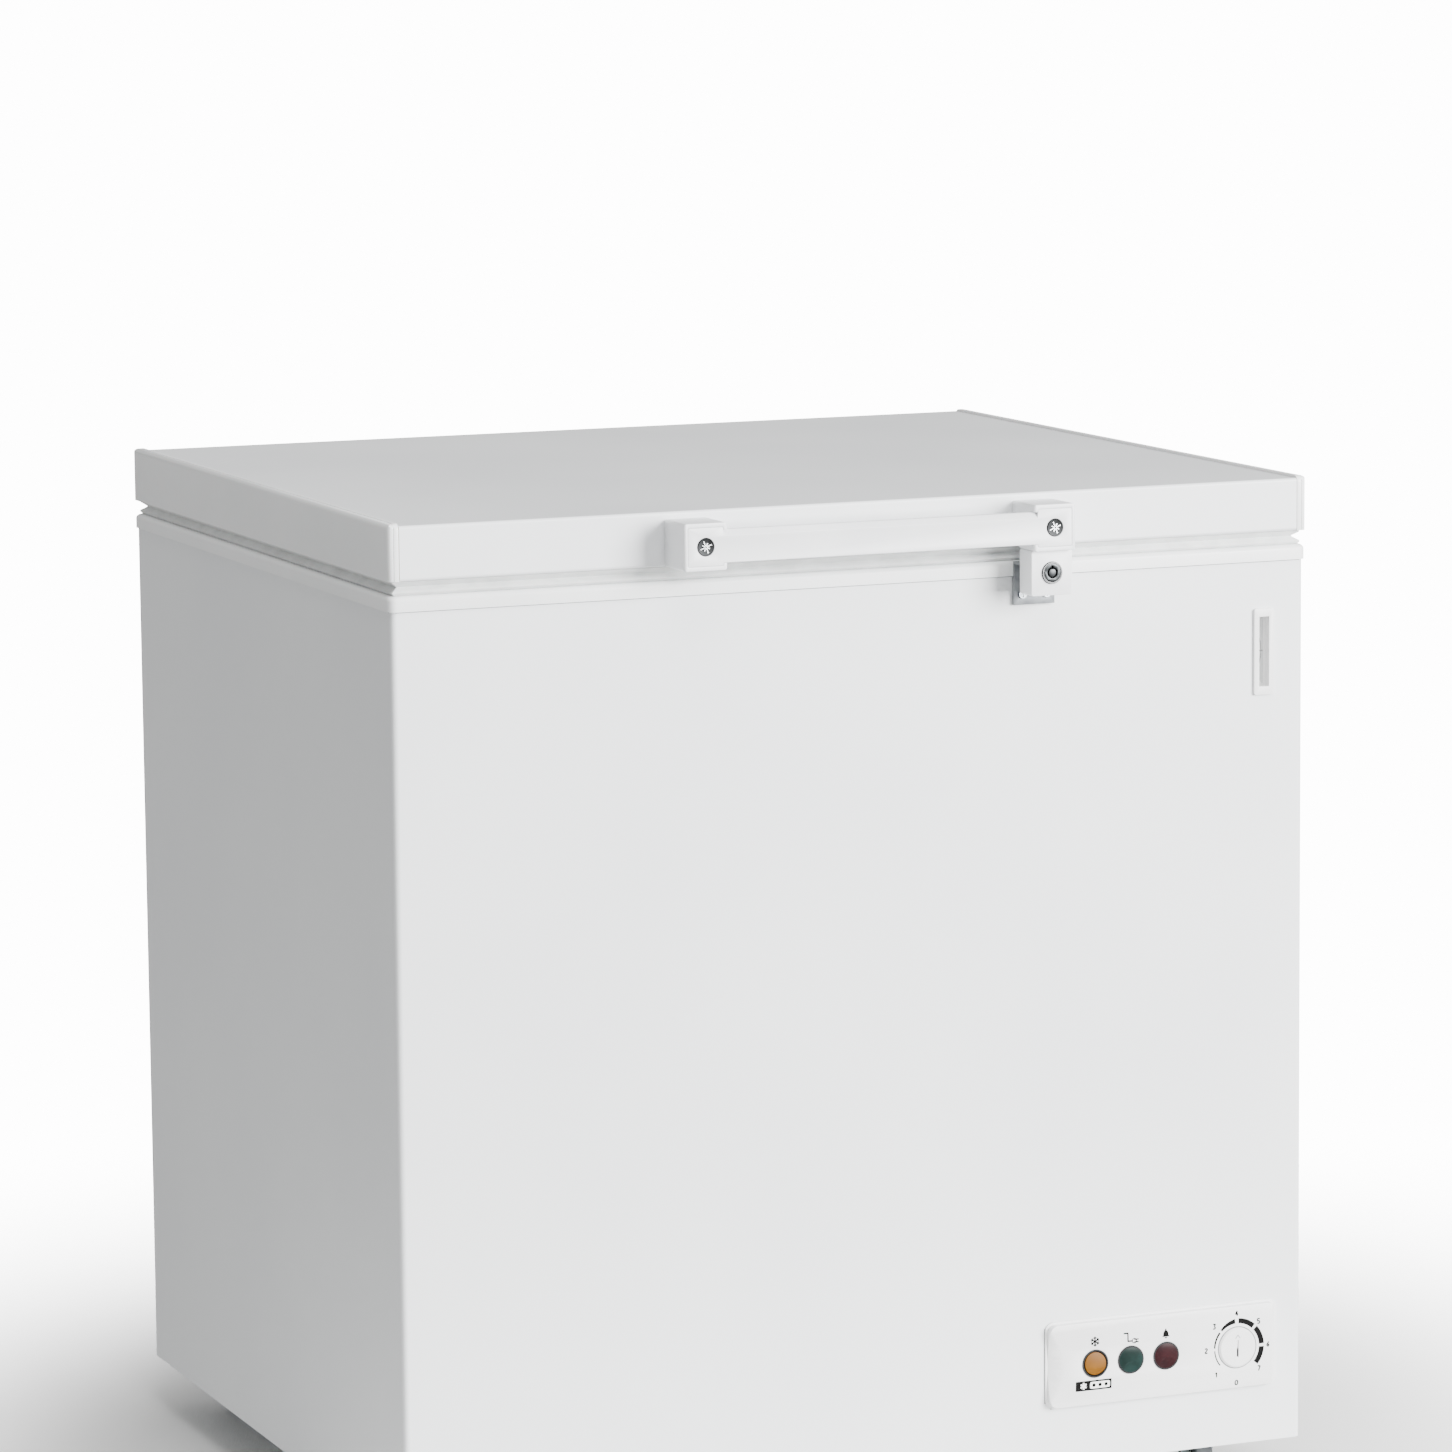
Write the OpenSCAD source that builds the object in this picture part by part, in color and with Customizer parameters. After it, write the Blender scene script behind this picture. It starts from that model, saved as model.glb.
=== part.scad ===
// Chest freezer: a foamed steel cabinet on castors with one hinged lid, a bow
// handle with a lock, a round-lamp control panel and a strip thermometer.
// Left and right are as the user sees them. The front faces -Y and the floor is z = 0.

/* [Overall] */
// Width of the lid, which is the widest piece
lid_w = 820; // [780:5:1200]
// Depth of the lid from front to back, without the handle
lid_d = 690; // [640:5:840]
// Height from the floor to the top of the lid's end caps
total_h = 880; // [800:5:1060]

/* [Cabinet] */
// Thickness of the insulated walls
wall = 60; // [48:1:74]
// Thickness of the painted steel sheet
sheet = 1; // [0.6:0.1:1.5]
// Outer radius of the cabinet's upright corners
corner_r = 5; // [3:0.5:10]
// Radius of the tank's upright corners
tank_r = 28; // [15:1:50]
// Thickness of the inner tank's sheet
tank_t = 1; // [0.6:0.1:2]
// Height of the plastic frame round the mouth
rim_h = 12.5; // [8:0.5:20]
// How far the lid and the mouth frame stand proud of the cabinet walls
overhang = 2; // [1:0.5:5]
// Insulation under the tank
floor_foam = 60; // [40:1:80]
// Thickness of the base plate
base_t = 2; // [1.5:0.5:4]

/* [Machine bay] */
// Clear width of the compressor bay at the right end
bay_w = 237; // [220:1:280]
// Height of the bay above the base plate
bay_h = 235; // [215:1:270]
// Insulation between the bay and the tank
bay_foam = 55; // [40:1:70]
// Outer radius of the compressor's shell
compressor_r = 74; // [60:1:84]
// Height of the compressor's shell
compressor_h = 158; // [130:1:165]
// Radius of the refrigerant tubes
tube_r = 4; // [3:0.5:5]

/* [Lid] */
// Height of the lid's steel skin
lid_h = 44.5; // [36:0.5:60]
// Thickness of the lid's steel skin
skin_t = 0.8; // [0.6:0.1:1.2]
// Height of the magnetic gasket when shut
gasket_h = 12; // [9:0.5:14]
// Width of each plastic end cap
cap_w = 9; // [7:0.5:14]
// How far the end caps rise above the skin
cap_rise = 2; // [1:0.5:4]
// How deep the lid's inner panel reaches into the tank
plug_h = 26; // [15:1:32]
// Gap between the lid's inner panel and the tank
plug_gap = 18; // [12:1:22]
// How far the lid opens
open_angle = 85; // [60:1:88]
// Distance between the middles of the two hinges
hinge_span = 500; // [360:10:640]

/* [Handle and lock] */
// Distance between the middles of the two handle posts
handle_span = 310; // [220:5:420]
// Width of a handle post
post_w = 38; // [34:1:50]
// Height of a handle post
post_h = 38.5; // [35:0.5:42]
// How far the handle stands out from the lid
handle_reach = 42; // [34:1:55]
// Height of the grip bar
grip_h = 26.5; // [20:0.5:29]
// Thickness of the grip bar
grip_t = 7.5; // [6:0.5:10]
// Height of the lock block under the right post
lock_h = 37.5; // [32:0.5:44]
// Radius of the turning lock barrel
barrel_r = 7.8; // [6:0.1:9]

/* [Controls] */
// Width of the control panel
panel_w = 219; // [212:1:224]
// Height of the control panel
panel_h = 75; // [66:1:90]
// How far the panel's face stands out from the cabinet
panel_proud = 9; // [7:0.5:12]
// Radius of each round lamp with its dark ring
lamp_r = 12.15; // [10:0.05:13]
// Distance from one lamp to the next
lamp_pitch = 33.4; // [28:0.1:36]
// Radius of the thermostat knob
knob_r = 17.5; // [15:0.5:20]
// Height of the strip thermometer's frame
gauge_h = 73.5; // [66:0.5:90]
// Width of the strip thermometer's frame
gauge_w = 18.6; // [16:0.2:24]

/* [Basket] */
// Length of the storage basket along the tank
basket_w = 220; // [160:5:300]
// Depth of the basket from its top frame to its floor
basket_h = 190; // [120:5:220]
// Thickness of the basket's wire
wire_t = 4; // [3:0.5:6]

/* [Castors] */
// Radius of a castor wheel
wheel_r = 20; // [16:0.5:25]
// Width of a castor wheel
wheel_w = 16; // [12:0.5:22]
// How far the wheel trails behind its swivel
trail = 14; // [8:0.5:20]
// How far each swivel stands in from the cabinet's sides
castor_inset = 62; // [56:1:110]

/* [Hidden] */
$fn = 48;
CASTORS = ["front_left", "front_right", "rear_left", "rear_right"];

// Clearances
run_fit = 0.05;      // round the turning spindles, on the radius
slip = 0.3;          // between loose pieces

// Heights, from the floor up
castor_h = 2 * wheel_r + 8;
base_z = castor_h;
foam_z = base_z + base_t;
tank_z = foam_z + floor_foam;
lid_top = total_h - cap_rise;
lid_z = lid_top - lid_h;
rim_top = lid_z - gasket_h;
rim_z = rim_top - rim_h;

// Cabinet, seen from above, with its middle at the origin
cab_w = lid_w - 2 * overhang;
cab_d = lid_d - 2 * overhang;
half_w = cab_w / 2;
half_d = cab_d / 2;
lid_front = -lid_d / 2;
lid_rear = lid_d / 2;
tank_w = cab_w - 2 * wall;
tank_d = cab_d - 2 * wall;
inner_rear = half_d - 2 * sheet;
bay_x = half_w - sheet - bay_w;
bay_top = foam_z + bay_h;
step_x = bay_x - bay_foam;
step_z = bay_top + bay_foam;

// Hinge pivot
pivot_y = lid_rear + 12;
pivot_z = rim_top - 6.5;
knuckle_r = 9;

// The whole freezer is moved so that its floor box is centred on the origin
cap_proud = 0.6;
shift_y = (handle_reach + cap_proud - (pivot_y + knuckle_r - lid_rear)) / 2;

module placed() {
    translate([0, shift_y, 0]) children();
}

// A rectangle with round corners, centred
module rounded_rect(w, d, r) {
    square([w - 2 * r, d], center = true);
    square([w, d - 2 * r], center = true);
    for (x = [-1, 1], y = [-1, 1]) {
        translate([x * (w / 2 - r), y * (d / 2 - r)]) circle(r);
    }
}

// A plate with round upright corners, standing on z
module slab(w, d, r, z, h) {
    translate([0, 0, z]) linear_extrude(h) rounded_rect(w, d, r);
}

// A box from its lowest to its highest corner
module block(a, b) {
    translate(a) cube(b - a);
}

// A round bar from a point, along x, y or z
module bar_x(p, r, l) {
    translate(p) rotate([0, 90, 0]) cylinder(h = l, r = r);
}
module bar_y(p, r, l) {
    translate(p) rotate([-90, 0, 0]) cylinder(h = l, r = r);
}
module bar_z(p, r, l) {
    translate(p) cylinder(h = l, r = r);
}

// An outline drawn in y and z, carried from x0 to x1
module along_x(x0, x1) {
    translate([x0, 0, 0]) rotate([90, 0, 90]) linear_extrude(x1 - x0) children();
}

// An outline drawn in x and z, carried from y0 back to y1
module along_y(y0, y1) {
    translate([0, y1, 0]) rotate([90, 0, 0]) linear_extrude(y1 - y0) children();
}

function unit(v) = v / norm(v);
function turned(v, a, b) = v - ((a + b) * v) / (1 + a * b) * (a + b) + 2 * (a * v) * b;

// A round tube swept along a path, with mitred bends
module pipe(path, r, sides = 8) {
    n = len(path);
    dirs = [for (i = [0:n - 2]) unit(path[i + 1] - path[i])];
    start = unit(cross(dirs[0], abs(dirs[0].z) < 0.9 ? [0, 0, 1] : [1, 0, 0]));
    normals = [
        for (i = 0, v = start; i < n - 1; i = i + 1,
            v = i < n - 1 ? turned(v, dirs[i - 1], dirs[i]) : v) v
    ];
    points = [
        for (i = [0:n - 1])
            let (
                d_in = dirs[max(i - 1, 0)],
                d_out = dirs[min(i, n - 2)],
                v = normals[max(i - 1, 0)],
                w = cross(d_in, v),
                m = d_in + d_out
            )
            for (k = [0:sides - 1])
                let (a = (k + 0.5) * 360 / sides, o = r * (cos(a) * v + sin(a) * w))
                path[i] + o - d_in * (o * m) / (d_in * m)
    ];
    faces = concat(
        [[for (k = [0:sides - 1]) k]],
        [[for (k = [sides - 1:-1:0]) (n - 1) * sides + k]],
        [
            for (i = [0:n - 2], k = [0:sides - 1])
                let (b = (k + 1) % sides)
                [i * sides + k, (i + 1) * sides + k, (i + 1) * sides + b, i * sides + b]
        ]
    );
    polyhedron(points, faces);
}

// Places of the fittings
panel_x = half_w - 24 - panel_w / 2;
panel_z = base_z + 87;
lamp_x = panel_x - 66.5;
knob_x = panel_x + 68;
face_y = -half_d - panel_proud;
gauge_x = half_w - 38;
gauge_z = rim_z - 40 - gauge_h / 2;
needle_reach = 34;
post_z = lid_z;
post_x = handle_span / 2;
grip_z = post_z + (post_h - grip_h) / 2;
grip_front = lid_front - handle_reach;
plate_w = post_w - 7;
plate_h = post_h - 7;
lock_z = post_z - lock_h / 2;
lock_front = grip_front + 6;
lock_back = lid_front - 13;
cam_back = lid_front - 7.5;
cam_t = 3;
cam_reach = 14;
tank_in_w = tank_w - 2 * tank_t;
tank_in_d = tank_d - 2 * tank_t;
drain_x = -tank_w / 2 + 90;
drain_y = -tank_d / 2 + 60;
drain_r = 9;
drain_z = 30;
comp_x = bay_x + bay_w / 2 + 4;
comp_y = inner_rear - compressor_r - 46;
comp_z = foam_z + 26;
tray_z = foam_z;
coil_gap = 12;
coil_out = tube_r + 0.6;
basket_x = tank_in_w / 2 - 12 - basket_w / 2;
basket_top = rim_z - 14;
hook_y = tank_in_d / 2 - 5;

// Steel sheet bent round the front and both sides, with returns at the rear
module cabinet_wrapper() {
    return_w = 20;
    color("#e6e8e9") placed() difference() {
        slab(cab_w, cab_d, corner_r, base_z, rim_z - base_z);
        slab(cab_w - 2 * sheet, cab_d - 2 * sheet, corner_r - sheet, base_z - 1, rim_z);
        block([return_w - half_w, half_d - 2 * sheet, base_z - 1], [half_w - return_w, half_d + 1, rim_z + 1]);
        block([panel_x - panel_w / 2 + 9, -half_d - 1, panel_z - panel_h / 2 + 6],
            [panel_x + panel_w / 2 - 9, -half_d + 3, panel_z + panel_h / 2 - 6]);
        block([gauge_x - gauge_w / 2 + 2, -half_d - 1, gauge_z - gauge_h / 2 + 2],
            [gauge_x + gauge_w / 2 - 2, -half_d + 3, gauge_z + gauge_h / 2 - 2]);
        block([half_w - 3, grille_y - grille_w / 2 + 6, grille_z - grille_h / 2 + 6],
            [half_w + 1, grille_y + grille_w / 2 - 6, grille_z + grille_h / 2 - 6]);
    }
}

// Flat sheet closing the rear, with the service opening of the machine bay
module rear_panel() {
    color("#c9cccd") placed() difference() {
        block([corner_r - half_w, inner_rear, base_z], [half_w - corner_r, inner_rear + sheet, rim_z]);
        block([bay_x + 10, inner_rear - 1, foam_z + 20], [half_w - 30, half_d, bay_top - 10]);
        for (p = cover_screw_places) bar_y([p[0], inner_rear - 1, p[1]], 1.9, 4);
        for (s = [-1, 1], dx = [-18, 18], dz = [18, 50]) {
            bar_y([s * hinge_span / 2 + dx, inner_rear - 1, pivot_z - dz], 2.4, 4);
        }
    }
}

// Galvanised plate that the foam, the compressor tray and the castors stand on
module base_plate() {
    color("#b9bcbd") placed() difference() {
        slab(cab_w - 2 * sheet - 0.4, cab_d - 6 * sheet, corner_r, base_z, base_t);
        bar_z([drain_x, drain_y, base_z - 1], drain_r, base_t + 2);
        for (x = [-1, 1], y = [-1, 1]) {
            translate([x * castor_x, y * castor_y, base_z - 1]) cylinder(h = base_t + 2, r = 6);
        }
    }
}
castor_x = half_w - castor_inset;
castor_y = half_d - castor_inset;

// Stepped well of the tank, grown outwards by g
module tank_body(g, top) {
    intersection() {
        slab(tank_w + 2 * g, tank_d + 2 * g, tank_r + g, tank_z - g, top - tank_z + g);
        union() {
            block([-half_w, -half_d, tank_z - g], [step_x + g, half_d, top]);
            block([-half_w, -half_d, step_z - g], [half_w, half_d, top]);
        }
    }
}

// Foam between the wrapper, the tank and the machine bay
module cabinet_insulation() {
    color("#e8d9a8") placed() difference() {
        block([sheet - half_w + 5, sheet - half_d, foam_z], [half_w - sheet - 5, inner_rear - coil_gap, rim_z]);
        tank_body(0, rim_z + 1);
        intersection() {
            tank_body(coil_gap, rim_z - 40);
            union() {
                for (z = loop_levels) block([-half_w, -half_d, z - tube_r - 1], [half_w, half_d, z + tube_r + 1]);
                block([-half_w, -half_d, suction_z - tube_r - 1], [half_w, half_d, suction_z + tube_r + 1]);
                block([-145, 0, suction_z - tube_r - 1], [-95, half_d, evap_top + tube_r + 1]);
            }
        }
        block([bay_x - sheet, -half_d, foam_z - 1], [half_w, half_d, bay_top + sheet]);
        block([gauge_x - needle_reach - 14, -half_d, gauge_z - gauge_h / 2 - 1],
            [gauge_x + gauge_w / 2 + 1, -half_d + sheet + 14, gauge_z + gauge_h / 2 + 1]);
        bar_z([drain_x, drain_y, foam_z - 1], drain_r, floor_foam + 2);
        bar_x([step_x, evap_y, suction_z], tube_r + 0.6, bay_x - step_x);
    }
    color("#e8d9a8") placed() for (s = [-1, 1]) {
        block([s > 0 ? half_w - sheet - 5 : sheet - half_w, 12 - half_d, s > 0 ? bay_top + sheet : foam_z],
            [s > 0 ? half_w - sheet : sheet - half_w + 5, inner_rear - coil_gap, rim_z]);
    }
}

// Bent sheet that keeps the foam out of the machine bay
module machine_bay_lining() {
    color("#b4b8ba") placed() difference() {
        union() {
            block([bay_x - sheet, sheet - half_d, foam_z], [bay_x, inner_rear, bay_top + sheet]);
            block([bay_x, sheet - half_d, bay_top], [half_w - sheet - 0.2, inner_rear, bay_top + sheet]);
        }
        for (z = line_holes) bar_x([bay_x - 2 * sheet, inner_rear - coil_out, z], tube_r + 0.3, 4 * sheet);
        bar_x([bay_x - 2 * sheet, evap_y, suction_z], tube_r + 0.6, 4 * sheet);
    }
}
line_holes = [foam_z + 60, foam_z + 190];

// Embossed aluminium tank with a step over the machine bay
module tank_liner() {
    color("#dfe2e2") placed() difference() {
        tank_body(0, rim_z);
        intersection() {
            slab(tank_in_w, tank_in_d, tank_r - tank_t, tank_z + tank_t, rim_z);
            union() {
                block([-half_w, -half_d, tank_z + tank_t], [step_x - tank_t, half_d, rim_z + 9]);
                block([-half_w, -half_d, step_z + tank_t], [half_w, half_d, rim_z + 9]);
            }
        }
        bar_z([drain_x, drain_y, tank_z - 1], drain_r, 4);
    }
}

// Moulded frame that joins the wrapper to the tank round the mouth
module top_frame() {
    color("#eceeee") placed() difference() {
        union() {
            slab(lid_w, lid_d, corner_r + overhang, rim_z, rim_h - 2);
            slab(lid_w - 3, lid_d - 3, corner_r + overhang - 1.5, rim_z + rim_h - 2, 2);
        }
        slab(tank_in_w, tank_in_d, tank_r - tank_t, rim_z - 1, rim_h + 2);
    }
}

// Path of one loop of tube round the tank, from the rear and back to it, with the corners at x1 bent to r1
bend_step = 45;
function loop_bend(cx, cy, r, z, first) =
    let (reach = r / cos(bend_step / 2))
    [for (a = [first, first - bend_step]) [cx + reach * cos(a), cy + reach * sin(a), z]];
function loop_path(x0, x1, y1, r, r1, z, xs) = concat(
    [[xs + 15, y1, z]],
    loop_bend(x1 - r1, y1 - r1, r1, z, 90 - bend_step / 2),
    loop_bend(x1 - r1, r1 - y1, r1, z, -bend_step / 2),
    loop_bend(x0 + r, r - y1, r, z, -90 - bend_step / 2),
    loop_bend(x0 + r, y1 - r, r, z, 180 - bend_step / 2),
    [[xs - 15, y1, z]]
);
evap_y = tank_d / 2 + coil_out;
evap_x = tank_w / 2 + coil_out;
evap_top = rim_z - 60;
evap_pitch = (evap_top - step_z - 10) / 5;
well_pitch = (step_z - tank_z - 30) / 3;
suction_z = tank_z + 16;
loop_levels = concat([for (i = [0:5]) evap_top - i * evap_pitch], [for (i = [1:3]) step_z - i * well_pitch]);

// Tube wound round the outside of the tank, first the full tank and then the well
module evaporator_coil() {
    r = tank_r + coil_out;
    full = [for (i = [0:5], p = loop_path(-evap_x, evap_x, evap_y, r, r, evap_top - i * evap_pitch, -120)) p];
    well = [
        for (i = [1:3], p = loop_path(-evap_x, step_x + coil_out, evap_y, r, coil_out, step_z - i * well_pitch, -120)) p
    ];
    color("#b9793f") placed() pipe(concat(full, well,
        [[-128, evap_y, suction_z], [bay_x - 20, evap_y, suction_z]]), tube_r);
}

// Tube folded to and fro behind the rear wall, which gives its heat to the steel
condenser_rows = 8;
condenser_x0 = -half_w + 70;
condenser_x1 = bay_x - 90;
condenser_z = foam_z + 60;
condenser_pitch = (rim_z - 90 - condenser_z) / (condenser_rows - 1);
module condenser_coil() {
    y = inner_rear - coil_out;
    r = condenser_pitch / 2;
    rows = [
        for (i = [0:condenser_rows - 2], a = [-90:45:90])
            let (side = i % 2 == 0 ? -1 : 1, edge = i % 2 == 0 ? condenser_x0 : condenser_x1)
            [edge + side * r * cos(a), y, condenser_z + (i + 0.5) * condenser_pitch + r * sin(a)]
    ];
    last_z = condenser_z + (condenser_rows - 1) * condenser_pitch;
    color("#8b8f91") placed() pipe(concat(
        [[bay_x - 20, y, line_holes[0]], [bay_x - 40, y, condenser_z]],
        rows, [[condenser_x1 + 30, y, last_z]]
    ), tube_r);
}

// Pressed tray that carries the compressor
module compressor_tray() {
    color("#9ea3a6") placed() difference() {
        union() {
            block([bay_x + 6, comp_y - 105, tray_z], [half_w - 8, comp_y + 105, tray_z + 2]);
            block([bay_x + 6, comp_y - 105, tray_z], [bay_x + 8, comp_y + 105, tray_z + 14]);
            block([half_w - 10, comp_y - 105, tray_z], [half_w - 8, comp_y + 105, tray_z + 14]);
        }
        for (p = mount_places) bar_z([p[0], p[1], tray_z - 1], 3, 4);
    }
}
mount_places = [for (x = [-1, 1], y = [-1, 1]) [comp_x + x * 80, comp_y + y * 55]];

// Hermetic compressor: a domed black pot on a foot plate with three tube stubs
module compressor() {
    dome = 26;
    color("#1c1d1f") placed() difference() {
        union() {
            translate([comp_x, comp_y, comp_z]) rotate_extrude() {
                difference() {
                    union() {
                        square([compressor_r - dome, compressor_h]);
                        translate([0, dome]) square([compressor_r, compressor_h - 2 * dome]);
                        for (z = [dome, compressor_h - dome]) translate([compressor_r - dome, z]) circle(dome);
                    }
                    translate([-200, -1]) square([200, 400]);
                }
            }
            translate([comp_x, comp_y, comp_z + compressor_h * 0.56]) cylinder(h = 5, r = compressor_r + 3);
            block([comp_x - 92, comp_y - 66, comp_z - 3], [comp_x + 92, comp_y + 66, comp_z + 1]);
            for (z = stub_heights) bar_x([comp_x - compressor_r - 12, comp_y, comp_z + z], tube_r + 1, 20);
        }
        for (p = mount_places) bar_z([p[0], p[1], comp_z - 4], 7, 6);
    }
}
stub_heights = [40, 70];

// Four rubber grommets under the foot plate
module compressor_mounts() {
    color("#2a2a2a") placed() for (p = mount_places) difference() {
        union() {
            bar_z([p[0], p[1], tray_z + 2], 11, comp_z - 3 - tray_z - 2);
            bar_z([p[0], p[1], comp_z - 3], 7, 4);
            bar_z([p[0], p[1], comp_z + 1], 9, 2);
        }
        bar_z([p[0], p[1], tray_z], 3, 60);
    }
}

// Four bolts that hold the grommets to the tray
module compressor_bolts() {
    color("#a9adb0") placed() for (p = mount_places) {
        bar_z([p[0], p[1], tray_z], 3, comp_z + 3 - tray_z);
        translate([p[0], p[1], comp_z + 3]) cylinder(h = 4.5, r = 6, $fn = 6);
    }
}

// Cover of the start relay on the compressor's front
module starter_cover() {
    color("#2b2e33") placed() difference() {
        block([comp_x - 32, comp_y - compressor_r - 34, comp_z + 34], [comp_x + 32, comp_y - compressor_r + 14, comp_z + 104]);
        translate([comp_x, comp_y, comp_z]) cylinder(h = 130, r = compressor_r + 0.05);
        translate([comp_x, comp_y, comp_z + compressor_h * 0.56 - 0.1]) cylinder(h = 5.2, r = compressor_r + 3.05);
    }
}

// Copper drier in the liquid line
drier_x = bay_x + 14;
drier_y = comp_y - 70;
drier_z = foam_z + 30;
module filter_drier() {
    color("#b5713a") placed() translate([drier_x, drier_y, drier_z]) {
        cylinder(h = 12, r1 = tube_r, r2 = 9);
        translate([0, 0, 12]) cylinder(h = 80, r = 9);
        translate([0, 0, 92]) cylinder(h = 12, r1 = 9, r2 = tube_r);
    }
}

// Discharge line to the condenser and suction line from the evaporator
module refrigerant_lines() {
    x = comp_x - compressor_r - 12;
    y = inner_rear - coil_out;
    color("#b9793f") placed() {
        pipe([[x, comp_y, comp_z + 40], [x - 8, comp_y, comp_z + 40], [x - 12, comp_y + 30, comp_z + 30],
            [x - 12, y - 20, line_holes[0]], [x - 18, y, line_holes[0]], [bay_x - 20, y, line_holes[0]]], tube_r);
        pipe([[x, comp_y, comp_z + 70], [x - 6, comp_y, comp_z + 70], [x - 22, comp_y + 20, comp_z + 66],
            [x - 22, evap_y - 14, suction_z], [x - 32, evap_y, suction_z], [bay_x - 20, evap_y, suction_z]], tube_r);
        pipe([[drier_x, drier_y, drier_z + 104], [drier_x, drier_y, drier_z + 116],
            [drier_x, drier_y + 12, drier_z + 126], [drier_x, y - 10, line_holes[1]],
            [drier_x - 8, y, line_holes[1]], [bay_x - 20, y, line_holes[1]]], tube_r / 2);
    }
}

// Moulded louvre grille in the right side of the machine bay
grille_y = comp_y - 20;
grille_z = foam_z + 118;
grille_w = 200;
grille_h = 130;
module grille_slots(n, y0, y1, z0, pitch, x0, x1) {
    for (i = [0:n - 1]) block([x0, y0, z0 + i * pitch], [x1, y1, z0 + i * pitch + pitch / 2]);
}
module side_grille() {
    color("#e3e5e6") placed() difference() {
        union() {
            translate([half_w, grille_y, grille_z]) rotate([90, 0, 90]) linear_extrude(1.8)
                rounded_rect(grille_w, grille_h, 6);
            block([half_w - 4, grille_y - grille_w / 2 + 6, grille_z - grille_h / 2 + 6],
                [half_w, grille_y + grille_w / 2 - 6, grille_z + grille_h / 2 - 6]);
        }
        grille_slots(10, grille_y - grille_w / 2 + 16, grille_y + grille_w / 2 - 16, grille_z - grille_h / 2 + 13,
            10.6, half_w - 5, half_w + 3);
    }
}

// Louvred plate over the service opening
cover_x0 = bay_x - 4;
cover_x1 = half_w - 21;
cover_z0 = foam_z + 8;
cover_z1 = bay_top + 8;
cover_screw_places = [for (x = [cover_x0 + 6, cover_x1 - 4], z = [cover_z0 + 14, (cover_z0 + cover_z1) / 2, cover_z1 - 12]) [x, z]];
module rear_cover() {
    color("#b4b8ba") placed() difference() {
        union() {
            block([cover_x0, inner_rear + sheet, cover_z0], [cover_x1, inner_rear + sheet + 1.2, cover_z1]);
            bar_y([gland_x, inner_rear + sheet, gland_z], 14, 3);
        }
        for (i = [0:13]) block([cover_x0 + 24, inner_rear, cover_z0 + 70 + i * 10],
            [cover_x1 - 24, half_d + 4, cover_z0 + 74 + i * 10]);
        for (p = cover_screw_places) bar_y([p[0], inner_rear, p[1]], 2.2, 6);
        bar_y([gland_x, inner_rear - 1, gland_z], 9, 8);
    }
}
gland_x = cover_x1 - 40;
gland_z = cover_z0 + 34;

// Six screws of the rear cover
module cover_screws() {
    color("#a9adb0") placed() for (p = cover_screw_places) difference() {
        union() {
            bar_y([p[0], inner_rear - 5, p[1]], 1.9, sheet + 6.2);
            bar_y([p[0], inner_rear + sheet + 1.2, p[1]], 4, 2.2);
        }
        block([p[0] - 3, inner_rear + sheet + 2.4, p[1] - 0.5], [p[0] + 3, half_d + 9, p[1] + 0.5]);
        block([p[0] - 0.5, inner_rear + sheet + 2.4, p[1] - 3], [p[0] + 0.5, half_d + 9, p[1] + 3]);
    }
}

// Rubber inlet bush of the mains lead
module cord_gland() {
    color("#1f2022") placed() difference() {
        union() {
            bar_y([gland_x, inner_rear - 6, gland_z], 9, 12);
            bar_y([gland_x, inner_rear + sheet + 3, gland_z], 12, 4);
        }
        bar_y([gland_x, inner_rear - 7, gland_z], 4, 20);
    }
}

// Moulded control panel: a thin flange, a raised face and a scooped left end
module control_panel() {
    left = panel_x - panel_w / 2;
    color("#ebebeb") placed() difference() {
        union() {
            translate([0, 0, panel_z]) along_y(-half_d - 1.5, -half_d)
                translate([panel_x, 0]) rounded_rect(panel_w, panel_h, 8);
            intersection() {
                translate([0, 0, panel_z]) along_y(face_y, -half_d)
                    translate([panel_x, 0]) rounded_rect(panel_w - 4, panel_h - 4, 7);
                translate([left, 0, panel_z]) along_x(0, panel_w) union() {
                    translate([face_y + 400, 0]) circle(400, $fn = 360);
                }
                translate([0, 0, panel_z - panel_h]) linear_extrude(2 * panel_h) polygon([
                    [left + 2, -half_d], [left + 2, face_y], [left + panel_w - 8, face_y],
                    [left + panel_w - 2, -half_d - 1.5], [left + panel_w - 2, -half_d]
                ]);
            }
            block([left + 10, -half_d, panel_z - panel_h / 2 + 7], [left + panel_w - 10, -half_d + 12, panel_z + panel_h / 2 - 7]);
        }
        translate([left + 14 - 60, face_y - 0.01, panel_z]) rotate([-90, 0, 0])
            cylinder(h = panel_proud - 1.5, r1 = 60, r2 = 48, $fn = 120);
        block([left + 12, -half_d - 6, panel_z - panel_h / 2 + 9], [left + panel_w - 12, -half_d + 13, panel_z + panel_h / 2 - 9]);
        for (i = [0:2]) bar_y([lamp_x + i * lamp_pitch, face_y - 2, panel_z], lamp_r, 20);
        bar_y([knob_x, face_y - 2, panel_z], knob_r + 0.4, 20);
    }
}

// Three round housings with dark rims, the first with two holes for the rocker's pins
rocker_y = face_y + 8;
rocker_pin_r = 1.2;
housing_h = 22;
module lamp_housings() {
    color("#17181a") placed() for (i = [0:2]) difference() {
        bar_y([lamp_x + i * lamp_pitch, face_y - 0.6, panel_z], lamp_r, housing_h);
        bar_y([lamp_x + i * lamp_pitch, face_y - 2, panel_z], lamp_r - 1.3, 20);
        if (i == 0) bar_x([lamp_x - lamp_r - 1, rocker_y, panel_z], rocker_pin_r + run_fit, 2 * lamp_r + 2);
    }
}

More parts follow.
